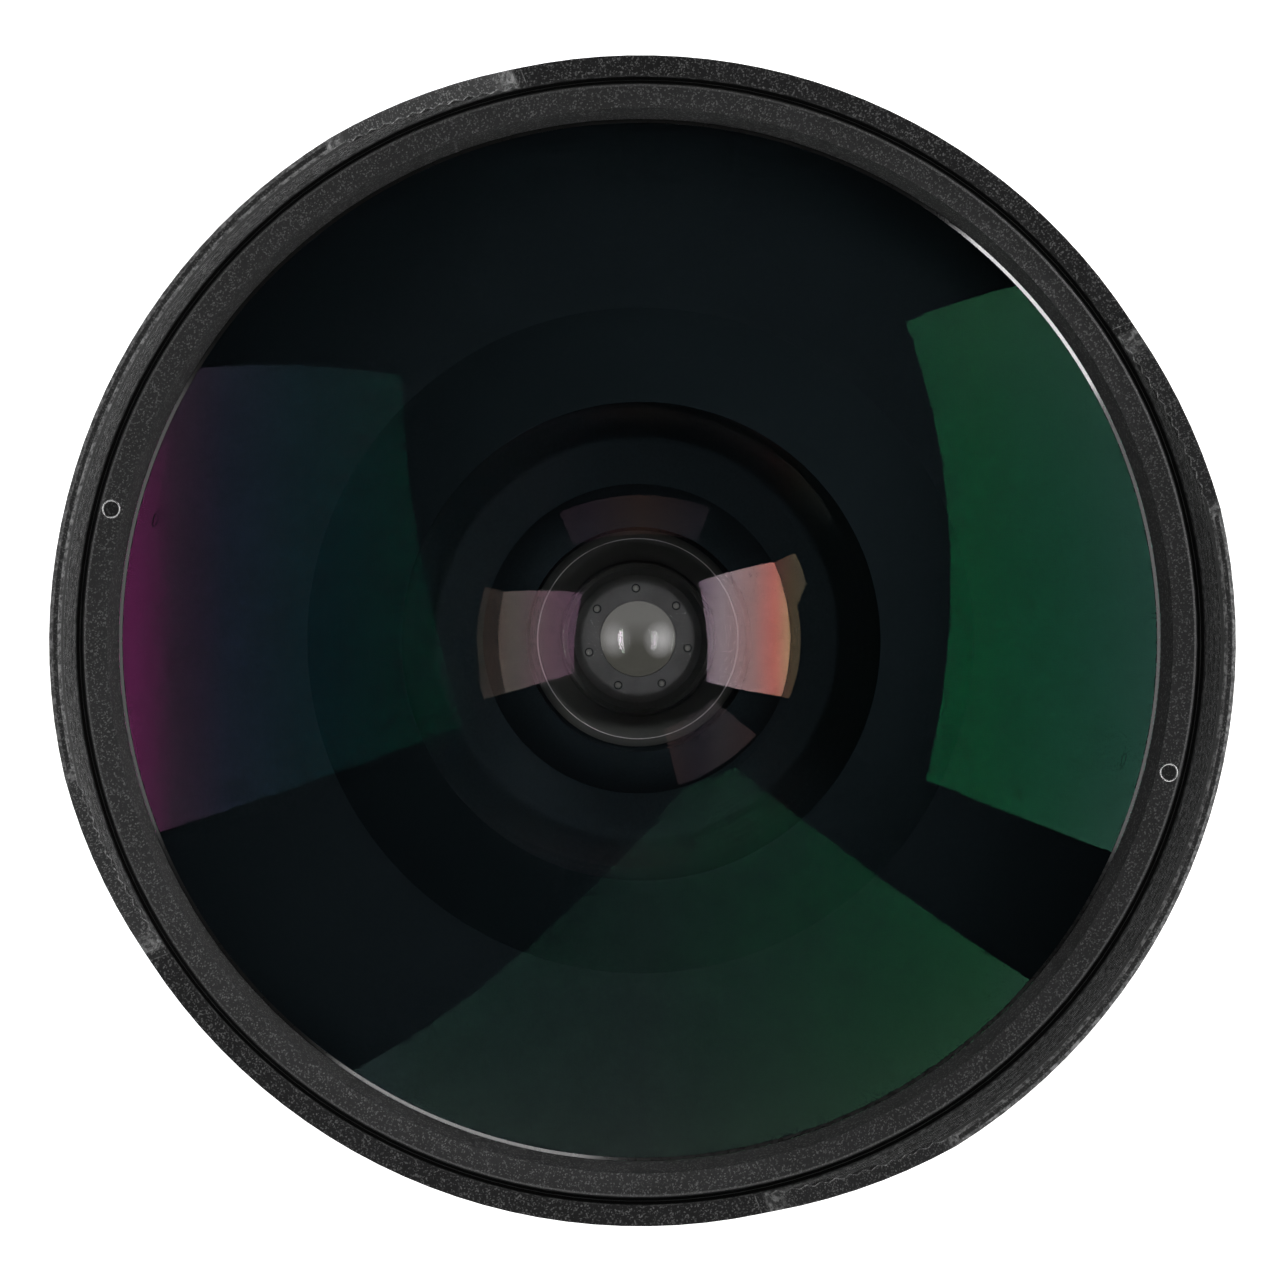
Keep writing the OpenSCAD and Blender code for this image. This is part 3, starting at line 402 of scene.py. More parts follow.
RIVET_GREY = soft_gloss("rivet_grey", (0.22, 0.22, 0.21), roughness=0.3, grain=0.3 * MM)
LIP_BLACK = soft_gloss("lip_black", (0.02, 0.02, 0.02), roughness=0.15, grain=0.3 * MM)
CELL_EDGE = soft_gloss("cell_edge", (0.62, 0.58, 0.6), roughness=0.3, grain=0.3 * MM)
SEAL_RUBBER = soft_gloss("seal_rubber", (0.02, 0.02, 0.02), roughness=0.7, grain=0.3 * MM)
INDEX_RED = soft_gloss("index_red", (0.62, 0.03, 0.02), roughness=0.25, grain=0.4 * MM)
SCALE_WHITE = soft_gloss("scale_white", (0.75, 0.75, 0.73), roughness=0.5, grain=0.2 * MM)

SLOT_FINISH = {
    "anodised_barrel": BARREL_BLACK,
    "hood_black": HOOD_BLACK,
    "grip_black": GRIP_BLACK,
    "inner_black": INNER_BLACK,
    "mount_chrome": MOUNT_CHROME,
    "screw_steel": SCREW_STEEL,
    "screw_black": SCREW_BLACK,
    "blade_steel": BLADE_BLACK,
    "helicoid_brass": HELICOID_BRASS,
    "baffle_plastic": BAFFLE_FLOCK,
    "index_red": INDEX_RED,
    "seal_rubber": SEAL_RUBBER,
}
NODE_FINISH = {
    "iris_housing": PLATE_GREY,
    "front_retaining_ring": RING_BLACK,
    "focus_stop_pin": SCREW_BLACK,
    "focus_set_screws": SCREW_BLACK,
    "cell_set_screws": SCREW_BLACK,
    "doublet_retaining_ring": CELL_SATIN,
    "middle_cell": CELL_SATIN,
}

for node_name, node_object in nodes.items():
    finish = NODE_FINISH.get(node_name) or SLOT_FINISH.get(slot_of[node_name])
    if finish:
        node_object.data.materials.clear()
        node_object.data.materials.append(finish)

# In mirrors the petals and the ring would stand before the softboxes that show at the edge of the glass
for unseen in ("petal_hood", "front_retaining_ring"):
    nodes[unseen].visible_glossy = False


# Surfaces


def put_mesh(name, points, faces, body, materials, bands=None, smooth_below=30):
    """A mesh object from arrays, with normals out, one material index per face, and soft shading."""
    mesh = bpy.data.meshes.new(name)
    mesh.from_pydata(points.tolist(), [], [f.tolist() for f in faces])
    for material in materials:
        mesh.materials.append(material)
    if bands is not None:
        mesh.polygons.foreach_set("material_index", bands.astype(np.int32))
    shell = bmesh.new()
    shell.from_mesh(mesh)
    bmesh.ops.recalc_face_normals(shell, faces=shell.faces)
    shell.to_mesh(mesh)
    shell.free()
    mesh.polygons.foreach_set("use_smooth", np.ones(len(mesh.polygons), bool))
    mesh.set_sharp_from_angle(angle=math.radians(smooth_below))
    piece = bpy.data.objects.new(name, mesh)
    bpy.context.scene.collection.objects.link(piece)
    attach(piece, body)
    return piece


def lathe(profile, steps):
    """A profile of (radius, height) points carried round the axis.

    Row i, column j of the grid is (r_i cos a_j, r_i sin a_j, z_i). A point on the axis is a single vertex.
    Returns points, faces and the profile segment that each face belongs to."""
    turn = np.linspace(0, 2 * np.pi, steps, endpoint=False)
    on_axis = profile[:, 0] < 1e-9
    counts = np.where(on_axis, 1, steps)
    starts = np.concatenate([[0], np.cumsum(counts)[:-1]])
    rows = [
        np.stack([r * np.cos(turn), r * np.sin(turn), np.full(steps, z)], 1)[: counts[i]]
        for i, (r, z) in enumerate(profile)
    ]
    column = np.arange(steps)
    following = (column + 1) % steps
    faces, bands = [], []
    for i in range(len(profile) - 1):
        low, high = starts[i], starts[i + 1]
        if on_axis[i]:
            made = np.stack([np.full(steps, low), high + column, high + following], 1)
        elif on_axis[i + 1]:
            made = np.stack([low + column, low + following, np.full(steps, high)], 1)
        else:
            made = np.stack([low + column, low + following, high + following, high + column], 1)
        faces.extend(made)
        bands.append(np.full(steps, i))
    return np.concatenate(rows), faces, np.concatenate(bands)


def sag(curve, r):
    """Height of a spherical cap of radius curve at distance r from its axis."""
    return curve - np.sqrt(curve * curve - r * r)


# Glass

CAP_ROWS = 56
GLASS_STEPS = 224

# Refractive indices
FRONT_INDEX = 1.45
SECOND_INDEX = 1.47
CROWN_INDEX = 1.60
DOUBLET_INDEX = 1.70
FLINT_INDEX = 1.75

# Radii of each element's front and back faces, positive where the face bulges forward
CURVES = {
    "front_element": (FRONT_CURVE, 16.5 * MM),
    "second_element": (80 * MM, 13.5 * MM),
    "doublet_front": (-30 * MM, 16 * MM),
    "doublet_rear": (15.98 * MM, -40 * MM),
    "fifth_element": (24 * MM, -40 * MM),
    "sixth_element": (18 * MM, -13 * MM),
    "seventh_element": (-13 * MM, -40 * MM),
    "eighth_element": (-30 * MM, 14 * MM),
    "ninth_element": (13.98 * MM, -35 * MM),
    "last_element": (30 * MM, 1000 * MM),
}

# The front glass is hollowed to a cone-like curve that reaches as deep as the CAD's sphere
FRONT_HOLLOW_R = 20.4 * MM
FRONT_HOLLOW_SPHERE = 25 * MM
FRONT_HOLLOW_CONIC = -1.608
SECOND_HOLLOW_R = 12 * MM
LENS_LIP = 0.3 * MM
DOUBLET_LIP = 0.15 * MM
CEMENT_GAP = 0.02 * MM

# Tints of the front glass's two coats, from the right of the photograph to the left
FRONT_SWEEP = [
    (-34 * MM, (0.0, 0.42, 0.27)), (-22 * MM, (0.0, 0.44, 0.14)), (-10 * MM, (0.03, 0.24, 0.11)),
    (0, (0.05, 0.14, 0.1)), (14 * MM, (0.0, 0.12, 0.07)), (22 * MM, (0.0, 0.09, 0.13)),
    (27 * MM, (0.03, 0.05, 0.16)), (30.3 * MM, (0.22, 0.04, 0.19)), (33 * MM, (1.0, 0.02, 0.6)),
    (34 * MM, (1.0, 0.02, 0.6)),
]
BACK_SWEEP = [
    (-11 * MM, (0.2, 0.25, 0.18)), (-9.5 * MM, (0.73, 0.5, 0.2)), (-8.3 * MM, (1.0, 0.24, 0.18)),
    (-7 * MM, (0.64, 0.34, 0.33)), (-5 * MM, (0.57, 0.45, 0.5)), (-3.5 * MM, (0.25, 0.165, 0.26)),
    (0, (0.7, 0.35, 0.25)), (3.5 * MM, (0.4, 0.22, 0.38)), (6 * MM, (0.5, 0.27, 0.36)),
    (8 * MM, (0.36, 0.3, 0.26)), (9.5 * MM, (0.3, 0.17, 0.12)), (11 * MM, (0.04, 0.14, 0.06)),
]


def cap(vertex, curve, rim, conic=0.0):
    """Points of a conic cap from the axis out to its rim; a positive curve bulges forward.

    The drop at distance r is r^2 / (R + sqrt(R^2 - (1 + conic) r^2)), a sphere of radius R at conic 0."""
    r = np.linspace(0, rim, CAP_ROWS)
    drop = r**2 / (abs(curve) + np.sqrt(curve**2 - (1 + conic) * r**2))
    return np.stack([r, vertex - math.copysign(1, curve) * drop], 1)


def lens(name, front, back, rim, films, clear=1.0, edge=CELL_SATIN, hollow=None):
    """One element: a front cap, a blackened rim through the given (radius, height) corners, and a back cap.

    front and back are (vertex height, curve, cap radius, perhaps a conic), and films are their two coats. The
    back cap is blackened beyond its clear share, with the hollow's paint or else the edge's."""
    profile = np.concatenate([cap(*front), np.array(rim).reshape(-1, 2), cap(*back)[::-1]])
    points, faces, bands = lathe(profile, GLASS_STEPS)
    back_start = len(profile) - CAP_ROWS
    clear_start = back_start + int((1 - clear) * CAP_ROWS)
    index = np.select([bands < CAP_ROWS - 1, bands < back_start, bands < clear_start], [0, 2, 3], 1)
    piece = put_mesh(name + "_polished", points, faces, "optical_unit",
                     [*films, edge, hollow or edge], index)
    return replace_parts(piece, name)


def full_lens(name, *films):
    """An element whose two faces run out to its rim."""
    low, high, rim = ends(name)
    front, back = CURVES[name]
    lens(name, (high, front, rim), (low, back, rim), [], films)


def dished_lens(name, front_lip, back_lip, *films):
    """An element that is hollow on both sides, with a flat lip of a given width round each hollow."""
    low, high, rim = ends(name)
    front, back = CURVES[name]
    front_r, back_r = rim - front_lip, rim - back_lip
    lens(name, (high - sag(-front, front_r), front, front_r), (low + sag(back, back_r), back, back_r),
         [(rim, high), (rim, low)], films)


def build_glass():
    """Every element from its CAD box and its two curves, with the film that gives each its own reflection."""
    front_coat = coated_glass("front_coat", FRONT_INDEX, (0.02, 0.2, 0.12), FRONT_SWEEP)
    front_back = coated_glass("front_back_coat", FRONT_INDEX, (0.5, 0.22, 0.16), BACK_SWEEP)
    second_coat = coated_glass("second_coat", SECOND_INDEX, (0.0, 0.0, 0.0))
    doublet_coat = coated_glass("doublet_coat", CROWN_INDEX, (0.2, 0.2, 0.3))
    doublet_seam = coated_glass("doublet_interface", DOUBLET_INDEX / CROWN_INDEX, (1, 1, 1))
    doublet_back = coated_glass("doublet_back_coat", DOUBLET_INDEX, (0.2, 0.3, 0.2))
    rear_coat = coated_glass("rear_coat", CROWN_INDEX, (0.3, 0.4, 0.3))
    rear_flint = coated_glass("rear_flint_coat", FLINT_INDEX, (0.4, 0.3, 0.4))
    sixth_seam = coated_glass("sixth_interface", FLINT_INDEX / CROWN_INDEX, (1, 1, 1))
    eighth_seam = coated_glass("eighth_interface", FLINT_INDEX / CROWN_INDEX, (1, 1, 1))
    cement = cement_seam("cement")

    low, high, rim = ends("front_element")
    front, back = CURVES["front_element"]
    depth = sag(FRONT_HOLLOW_SPHERE, FRONT_HOLLOW_R)
    lens("front_element", (high, front, rim), (low + depth, back, FRONT_HOLLOW_R, FRONT_HOLLOW_CONIC),
         [(rim, low)], (front_coat, front_back), clear=0.73, edge=EDGE_PAINT, hollow=HOLLOW_LIGHT_MATCHED_PAINT)
    low, high, rim = ends("second_element")
    front, back = CURVES["second_element"]
    lens("second_element", (high, front, rim), (low + sag(back, SECOND_HOLLOW_R), back, SECOND_HOLLOW_R),
         [(rim, low)], (second_coat, second_coat), clear=0.72, edge=SECOND_LIGHTENED_PAINT)
    dished_lens("doublet_front", DOUBLET_LIP, LENS_LIP, doublet_coat, cement)
    full_lens("doublet_rear", doublet_seam, doublet_back)
    full_lens("fifth_element", rear_coat, rear_coat)
    full_lens("sixth_element", rear_coat, cement)
    seam = ends("sixth_element")[0] - CEMENT_GAP
    low, high, rim = ends("seventh_element")
    front, back = CURVES["seventh_element"]
    lens("seventh_element", (seam, front, rim - LENS_LIP), (low, back, rim), [(rim, high)],
         (sixth_seam, rear_flint))
    dished_lens("eighth_element", LENS_LIP, LENS_LIP, rear_flint, eighth_seam)
    full_lens("ninth_element", cement, rear_coat)
    full_lens("last_element", rear_coat, rear_coat)


build_glass()


# Small bright details

# Turns are in degrees
LIP_R = 33.74 * MM
LIP_WIDTH = 0.23 * MM
LIP_LIFT = 0.03 * MM
LIP_DEPTH = 0.1 * MM
LIP_SLOPE = math.tan(math.radians(40))
HOLE_INSET = 0.76 * MM
HOLE_R = 0.55 * MM
HOLE_TURN = 98.5
EDGE_WIRE = 0.05 * MM
DOUBLET_EDGE_R = 10.8 * MM
PINS = 7
PIN_CIRCLE_R = 8 * MM
PIN_TURN = 24.9
# A dome on a flat black ring that is painted shade round each head's foot
HEAD_PROFILE = MM * np.array([
    (0, 0.3), (0.15, 0.29), (0.35, 0.25), (0.46, 0.15), (0.5, 0.03), (0.7, 0.02), (0.7, -0.1),
])
HEAD_DOME_ROWS = 3


def hoop(section, steps):
    """A closed section of (radius, height) corners carried round the axis.

    Row i, corner j of the grid is (r_j cos u_i, r_j sin u_i, z_j)."""
    sides = len(section)
    turn = np.linspace(0, 2 * np.pi, steps, endpoint=False)[:, None]
    radius, height = np.array(section).T[:, None, :]
    grid = np.broadcast_arrays(radius * np.cos(turn), radius * np.sin(turn), height)
    i, j = np.meshgrid(np.arange(steps), np.arange(sides), indexing="ij")
    row, after_row = i * sides, (i + 1) % steps * sides
    after_j = (j + 1) % sides
    quads = np.stack([row + j, after_row + j, after_row + after_j, row + after_j], -1)
    return np.stack(grid, -1).reshape(-1, 3), quads.reshape(-1, 4)


def beads(centres, ring_r, wire_r, steps, sides=10):
    """A round wire bent into a flat hoop about each centre."""
    turn = np.linspace(0, 2 * np.pi, sides, endpoint=False)
    points, quads = hoop(np.stack([ring_r + wire_r * np.cos(turn), wire_r * np.sin(turn)], 1), steps)
    sets = np.concatenate([points + centre for centre in centres])
    return sets, np.concatenate([quads + k * len(points) for k in range(len(centres))])


def around(radius, first, count, height):
    """Evenly spaced points on a circle about the axis, from a first direction in degrees."""
    turn = np.radians(first + 360 * np.arange(count) / count)
    return np.stack([radius * np.cos(turn), radius * np.sin(turn), np.full(count, height)], 1)


def build_details():
    """The front ring's lip, the edges of its spanner holes and of the doublet's ring, and the pin heads in
    rings of painted shade.
    """
    _, top, ring_r = ends("front_retaining_ring")
    lip_top = ends("front_element")[1] - sag(FRONT_CURVE, LIP_R) + LIP_LIFT
    lip_low = lip_top - LIP_WIDTH * LIP_SLOPE
    lip_end = LIP_R + LIP_WIDTH
    points, faces = hoop([
        (LIP_R, lip_top), (lip_end, lip_low), (lip_end, lip_low - LIP_DEPTH), (LIP_R, lip_top - LIP_DEPTH),
    ], steps=360)
    put_mesh("ring_lip", points, faces, "optical_unit", [LIP_BLACK])
    points, faces = beads(around(ring_r - HOLE_INSET, HOLE_TURN, 2, top), HOLE_R, EDGE_WIRE, steps=40)
    put_mesh("spanner_hole_edges", points, faces, "optical_unit", [BRIGHT_EDGE])
    points, faces = beads([(0, 0, ends("doublet_retaining_ring")[1])], DOUBLET_EDGE_R, EDGE_WIRE, steps=160)
    put_mesh("doublet_ring_edge", points, faces, "optical_unit", [CELL_EDGE])
    heads = around(PIN_CIRCLE_R, PIN_TURN, PINS, ends("iris_housing")[1])
    points, faces, bands = lathe(HEAD_PROFILE, steps=24)
    sets = np.concatenate([points + head for head in heads])
    faces = [face + k * len(points) for k in range(PINS) for face in faces]
    put_mesh("pivot_heads", sets, faces, "optical_unit", [RIVET_GREY, INNER_BLACK],
             np.tile(bands > HEAD_DOME_ROWS, PINS))


build_details()


# Scales

# Turns are in degrees, beside the figure that each brings to the index
PAINT = 0.02 * MM
APERTURE_TURN = 60
APERTURE_NUMBERS = ["2.8", "4", "5.6", "8", "11", "16"]
APERTURE_FIGURE = 2.3 * MM
APERTURE_BAND_R = 34.6 * MM
FOCUS_NUMBERS = {"\u221e": 0, "1": 38, "0.5": 66, "0.3": 93, "0.2": 120}
FOCUS_FIGURE = 3.4 * MM
FOCUS_BAND_R = 34.5 * MM

# The depth of field's stops, and their turns to either side of the index
DEPTH_MARKS = {"8": 9, "16": 18}
DEPTH_FIGURE = 1.9 * MM


def glyphs(text, size):
    """A line of figures as a thin flat solid, centred: its points (right, up, out) and its faces."""
    line = bpy.data.curves.new(text, "FONT")
    line.body = text
    line.size = size
    line.align_x = "CENTER"
    line.align_y = "CENTER"
    line.extrude = PAINT
    line.resolution_u = 4
    holder = bpy.data.objects.new(text, line)
    bpy.context.scene.collection.objects.link(holder)
    mesh = bpy.data.meshes.new_from_object(holder.evaluated_get(bpy.context.evaluated_depsgraph_get()))
    points = np.empty(3 * len(mesh.vertices))
    mesh.vertices.foreach_get("co", points)
    faces = [np.array(face.vertices) for face in mesh.polygons]
    bpy.data.objects.remove(holder)
    bpy.data.curves.remove(line)
    bpy.data.meshes.remove(mesh)
    return points.reshape(-1, 3), faces


def stroke(width, length, rows=6):
    """An upright stroke as a thin flat solid, centred: rows of four corners from end to end, and two caps."""
    up = np.linspace(-length / 2, length / 2, rows)
    ring = np.array([(-0.5, -1), (0.5, -1), (0.5, 1), (-0.5, 1)]) * (width, PAINT)
    grid = np.broadcast_arrays(ring[None, :, 0], up[:, None], ring[None, :, 1])
    i, j = np.meshgrid(np.arange(rows - 1), np.arange(4), indexing="ij")
    after = (j + 1) % 4
    quads = np.stack([4 * i + j, 4 * i + after, 4 * i + 4 + after, 4 * i + 4 + j], -1).reshape(-1, 4)
    caps = np.arange(4) + np.array([[0], [4 * rows - 4]])
    return np.stack(grid, -1).reshape(-1, 3), list(np.concatenate([quads, caps]))


def wrap(mark, radius, degrees, height, slope=0.0):
    """A flat (right, up, out) mark laid round a cylinder, or a cone that gains slope in radius per height.

    A point goes to the turn degrees + right / radius, the height plus up, and radius + slope up + out."""
    points, faces = mark
    turn = math.radians(degrees) + points[:, 0] / radius
    reach = radius + slope * points[:, 1] + points[:, 2]
    return np.stack([reach * np.cos(turn), reach * np.sin(turn), height + points[:, 1]], 1), faces


def painted(name, body, marks):
    """One painted piece from (points, faces) marks that are already in their places."""
    starts = np.cumsum([0] + [len(points) for points, _ in marks])
    faces = [face + start for start, (_, mark) in zip(starts, marks) for face in mark]
    put_mesh(name, np.concatenate([points for points, _ in marks]), faces, body, [SCALE_WHITE])


def build_scales():
    """Stops on the aperture ring, distances on the focus ring, and the index lines they are read against.

    A ring's figure for a turn of t stands t before the index, so that it comes there after that turn."""
    low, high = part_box("mount_index_dot")
    index = math.degrees(math.atan2(low.y + high.y, low.x + high.x))

    stop_step = APERTURE_TURN / (len(APERTURE_NUMBERS) - 1)
    line = ends("aperture_ring")[1] - 1.75 * MM
    marks = [wrap(glyphs(text, APERTURE_FIGURE), APERTURE_BAND_R, index - k * stop_step, line)
             for k, text in enumerate(APERTURE_NUMBERS)]
    painted("aperture_numbers", "aperture_unit", marks)

    base = ends("focus_ring")[0]
    marks = []
    for text, turn in FOCUS_NUMBERS.items():
        marks.append(wrap(glyphs(text, FOCUS_FIGURE), FOCUS_BAND_R, index - turn, base + 4.4 * MM))
        marks.append(wrap(stroke(0.3 * MM, 1.1 * MM), FOCUS_BAND_R, index - turn, base + 0.95 * MM))
    painted("focus_numbers", "focus_unit", marks)

    _, top, barrel_r = ends("rear_barrel")
    marks = [wrap(stroke(0.4 * MM, 3.2 * MM), barrel_r, index, top - 2.0 * MM)]
    for stop, away in DEPTH_MARKS.items():
        for turn in (index - away, index + away):
            marks.append(wrap(stroke(0.25 * MM, 1.6 * MM), barrel_r, turn, top - 1.2 * MM))
            marks.append(wrap(glyphs(stop, DEPTH_FIGURE), barrel_r, turn, top - 3.4 * MM))
    painted("barrel_index", "fixed_barrel", marks)

    slope = (HOOD_R - HOOD_NECK_R) / HOOD_CONE
    half = HOOD_CONE / 2
    mark = wrap(stroke(0.4 * MM, 2.4 * MM), HOOD_NECK_R + slope * half, index, HOOD_BASE + half, slope)
    painted("hood_index", "optical_unit", [mark])


build_scales()


# Stage, light and camera

LIGHTS_BASE = 70 * MM
PANEL_REACH = 0.6
FLOOR_SIZE = 4.0

# Distances from the axis where the painted shadow under the lens meets the light floor, and where the glow
# under the lens fades
PAINTED_SHADOW_EDGE = (24 * MM, 34 * MM)
GLOW_FADES = (14 * MM, 24 * MM)

# The camera's place to the right, up and above its aim, and its lens and sensor in millimetres
CAMERA_AIM = 77.5 * MM
CAMERA_PLACE = (-0.010, 0.008, 0.655)
CAMERA_LENS = 285
CAMERA_SENSOR = 36

# Soft bright patches under the lens that show in its pupil: (right, up, strength), and where they fade
GLOW_PATCHES = [(2.1 * MM, 0.0, 0.22), (-1.8 * MM, 0.0, 0.34)]
PATCH_FADES = (0.2 * MM, 1.6 * MM)

# Panels of the room: strength, the kinds of ray that see it, and corners (right, up, height)
ROOM_PANELS = {
    "softbox_right": (2.2, ("glossy", "diffuse"), [
        (0.5, 0.36, 0.002), (0.5, -0.22, 0.008), (0.5, -0.245, 0.605), (0.5, 0.58, 0.505)]),
    "softbox_left": (1.7, ("glossy",), [
        (-0.5, 0.205, 0.012), (-0.5, -0.2, 0.012), (-0.5, -0.255, 1.17), (-0.5, 0.56, 0.695)]),
    "table_low": (1.8, ("glossy", "diffuse"), [
        (0.176, -0.232, 0.76), (0.58, -0.5, 0.19), (-0.44, -0.62, 0.13), (0.085, -0.27, 0.764)]),
}

# Low strips that only mirrors see, for the glints on the ring's lip: strength and two directions in degrees
LIP_STRIPS = {"strip_lip_right": (20, 12, 50), "strip_lip_low": (6, 236, 266)}
STRIP_LOW, STRIP_HIGH = 3, 9

# Panels that show only by way of the glass: strength, and corners (direction, elevation) in degrees
INSIDE_PANELS = {
    "inside_right": (16, [(45.6, 45), (30, 12.5), (-21.6, 13), (-32, 47.5)]),
    "inside_right_low": (1.8, [(30, 12.3), (29, 4), (-20.5, 4.5), (-21.6, 12.8)]),
    "inside_left": (4.5, [(140, 49), (160.5, 17.5), (201.6, 17.5), (206, 49.5)]),
    "inside_left_low": (1.5, [(160.5, 17.3), (161, 9), (201, 9), (201.6, 17.3)]),
    "inside_low": (0.8, [(-39, 40), (-39, 14), (-75, 14), (-75, 40)]),
    "inside_top": (0.5, [(60, 29.5), (62, 15), (122, 15), (125, 29.5)]),
}


def from_photo(right, up, height):
    """A point from its distances to the right and up in the photograph, and its height."""
    return RIGHT * right + UP * up + AXIS * height


def toward(direction, elevation):
    """A point away from the front glass, by its direction in the photograph and its elevation in degrees."""
    turn, rise = math.radians(direction), math.radians(elevation)
    level = PANEL_REACH * math.cos(rise)
    height = LIGHTS_BASE + PANEL_REACH * math.sin(rise)
    return from_photo(level * math.cos(turn), level * math.sin(turn), height)


def add_stage_piece(name, corners, material):
    """A flat four-cornered piece of the stage."""
    mesh = bpy.data.meshes.new(name)
    mesh.from_pydata([tuple(corner) for corner in corners], [], [(0, 1, 2, 3)])
    mesh.materials.append(material)
    piece = bpy.data.objects.new(name, mesh)
    bpy.context.scene.collection.objects.link(piece)
    return piece


def floor_paper(level):
    """Pale paper, white to the camera and to what mirrors it, and dark for what looks through the glass.

    Under the lens it is dim, a painted shadow, with a faint patchy painted glow for rays that come through
    the whole lens."""
    material, tree, shader, place = new_material("floor_paper")
    path = tree.nodes.new("ShaderNodeLightPath").outputs
    through = path["Is Transmission Ray"]
    away = vector_step(tree, "LENGTH", place)
    # Painted shadow under the lens: its paper is dark there and gives off no light
    beyond_painted_shadow = remap(tree, away, *PAINTED_SHADOW_EDGE, 0.0, 0.9)
    paper = blend_colours(tree, noise(tree, place, 1.5 * MM, 3.0), grey(0.78), grey(0.82))
    paper = blend_colours(tree, through, paper, grey(0.0))
    feed(tree, shader.inputs["Base Color"], blend_colours(tree, beyond_painted_shadow, (0.2, 0.2, 0.17, 1), paper))
    shader.inputs["Roughness"].default_value = 0.9
    shader.inputs["Emission Color"].default_value = (1, 1, 1, 1)

    mirrored = math_node(tree, "SUBTRACT", path["Is Glossy Ray"], through)
    seen = math_node(tree, "MAXIMUM", path["Is Camera Ray"], mirrored)
    glow = remap(tree, vector_step(tree, "DOT_PRODUCT", place, UP), -1.5 * MM, 0.5 * MM, 0.08, 0.0)
    for right, up, strength in GLOW_PATCHES:
        gap = vector_step(tree, "DISTANCE", place, from_photo(right, up, level))
        glow = math_node(tree, "ADD", glow, remap(tree, gap, *PATCH_FADES, strength, 0.0))
    under = product(tree, through, glow, remap(tree, away, *GLOW_FADES, 1.0, 0.0))
    light = math_node(tree, "ADD", product(tree, seen, beyond_painted_shadow), under)
    feed(tree, shader.inputs["Emission Strength"], light)
    return material


def add_floor():
    """A wide floor under the bayonet."""
    level = cad_box[0].z
    corners = [(x * FLOOR_SIZE, y * FLOOR_SIZE, level) for x, y in ((-1, -1), (1, -1), (1, 1), (-1, 1))]
    add_stage_piece("floor", corners, floor_paper(level))


def add_softbox(name, corners, strength, seen):
    """A lit cloth panel through four corners, hidden from the camera, for the named kinds of ray alone."""
    material = bpy.data.materials.new(name + "_cloth")
    material.use_nodes = True
    tree = material.node_tree
    tree.nodes.clear()
    glow = add_node(tree, "ShaderNodeEmission", strength=strength)
    output = tree.nodes.new("ShaderNodeOutputMaterial")
    feed(tree, output.inputs["Surface"], glow.outputs[0])
    panel = add_stage_piece(name, corners, material)
    panel.visible_camera = False
    panel.visible_transmission = "transmission" in seen
    panel.visible_glossy = "glossy" in seen
    panel.visible_diffuse = "diffuse" in seen


def add_panels():
    """The softboxes round the lens, the strips for the ring's lip, and the panels for the inside."""
    for name, (strength, seen, corners) in ROOM_PANELS.items():
        add_softbox(name, [from_photo(*corner) for corner in corners], strength, seen)
    for name, (strength, first, last) in LIP_STRIPS.items():
        directions = [(first, STRIP_LOW), (last, STRIP_LOW), (last, STRIP_HIGH), (first, STRIP_HIGH)]
        add_softbox(name, [toward(*direction) for direction in directions], strength, ("glossy",))
    for name, (strength, directions) in INSIDE_PANELS.items():
        add_softbox(name, [toward(*direction) for direction in directions], strength, ("transmission",))


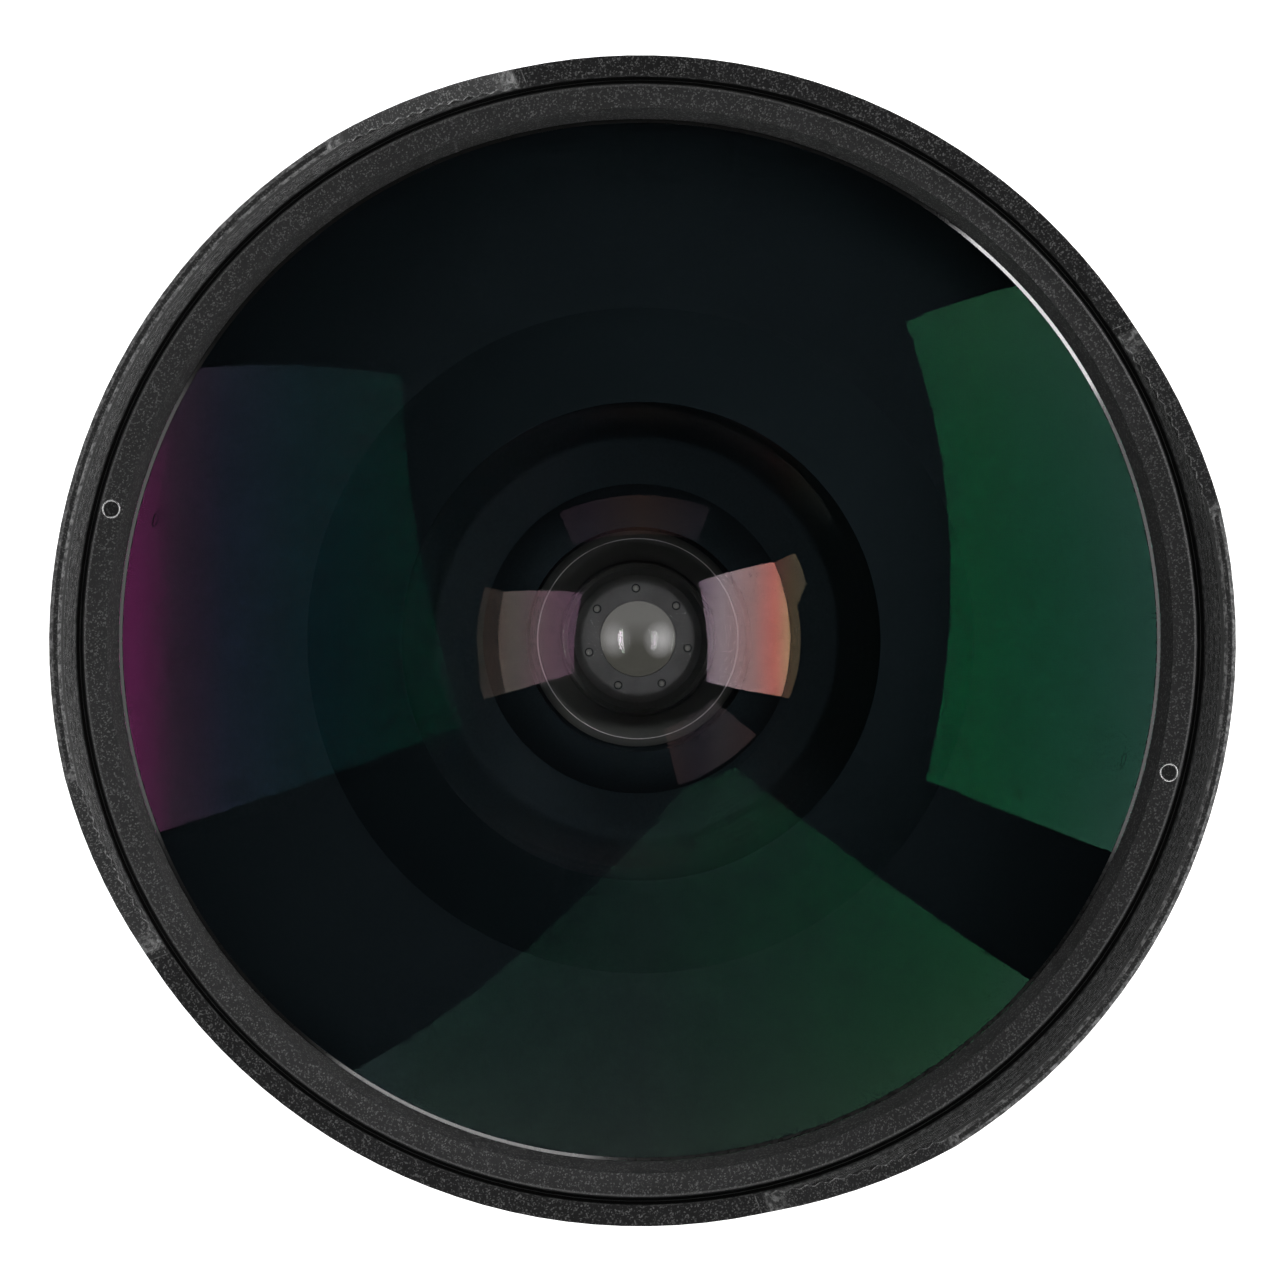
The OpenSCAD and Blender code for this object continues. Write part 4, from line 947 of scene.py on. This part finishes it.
def add_lamp(name, place, size, energy, cone=None):
    """A soft lamp aimed at the front glass, which lights the part but isn't mirrored by the glass.

    With a cone, its light is kept to that angle."""
    lamp = bpy.data.lights.new(name, "SPOT" if cone else "AREA")
    if cone:
        lamp.spot_size = cone
        lamp.spot_blend = 0.5
        lamp.shadow_soft_size = size
    else:
        lamp.size = size
    lamp.energy = energy
    holder = bpy.data.objects.new(name, lamp)
    bpy.context.scene.collection.objects.link(holder)
    holder.location = place
    holder.rotation_euler = (place - AXIS * LIGHTS_BASE).to_track_quat("Z", "Y").to_euler()
    holder.visible_glossy = False
    holder.visible_transmission = False


def light_world(even=0.25, least=0.012):
    """Dark studio air with a little even light; the camera sees plain white beyond the floor."""
    world = bpy.data.worlds.new("studio")
    bpy.context.scene.world = world
    world.use_nodes = True
    tree = world.node_tree
    back = tree.nodes["Background"]
    path = tree.nodes.new("ShaderNodeLightPath").outputs
    back.inputs["Color"].default_value = (1, 1, 1, 1)
    lit = math_node(tree, "MULTIPLY", path["Is Diffuse Ray"], even)
    strength = math_node(tree, "MAXIMUM", path["Is Camera Ray"], lit)
    feed(tree, back.inputs["Strength"], math_node(tree, "MAXIMUM", strength, least))


def add_camera():
    """A long lens straight over the glass, a little to the left and above the axis of the lens."""
    aim = AXIS * CAMERA_AIM
    place = aim + from_photo(*CAMERA_PLACE)
    camera = bpy.data.objects.new("camera", bpy.data.cameras.new("camera"))
    bpy.context.scene.collection.objects.link(camera)
    back = (place - aim).normalized()
    right = UP.cross(back).normalized()
    up = back.cross(right)
    camera.matrix_world = Matrix((
        (right.x, up.x, back.x, place.x), (right.y, up.y, back.y, place.y),
        (right.z, up.z, back.z, place.z), (0, 0, 0, 1),
    ))
    camera.data.lens = CAMERA_LENS
    camera.data.sensor_width = CAMERA_SENSOR
    bpy.context.scene.camera = camera


add_floor()
add_panels()
add_lamp("lamp_inside", from_photo(0, 0, 0.95), size=0.02, energy=12, cone=math.radians(3.4))
add_lamp("lamp_top", from_photo(0, 0.6, 0.38), size=0.25, energy=9)
add_lamp("lamp_low", from_photo(0.1, -0.6, 0.38), size=0.25, energy=10)
light_world()
add_camera()

scene = bpy.context.scene
scene.view_settings.view_transform = "Standard"
# The default pattern leaves dots in the faint reflections
scene.cycles.sampling_pattern = "TABULATED_SOBOL"
scene.cycles.max_bounces = 32
scene.cycles.transmission_bounces = 32
scene.cycles.transparent_max_bounces = 48
scene.cycles.glossy_bounces = 12
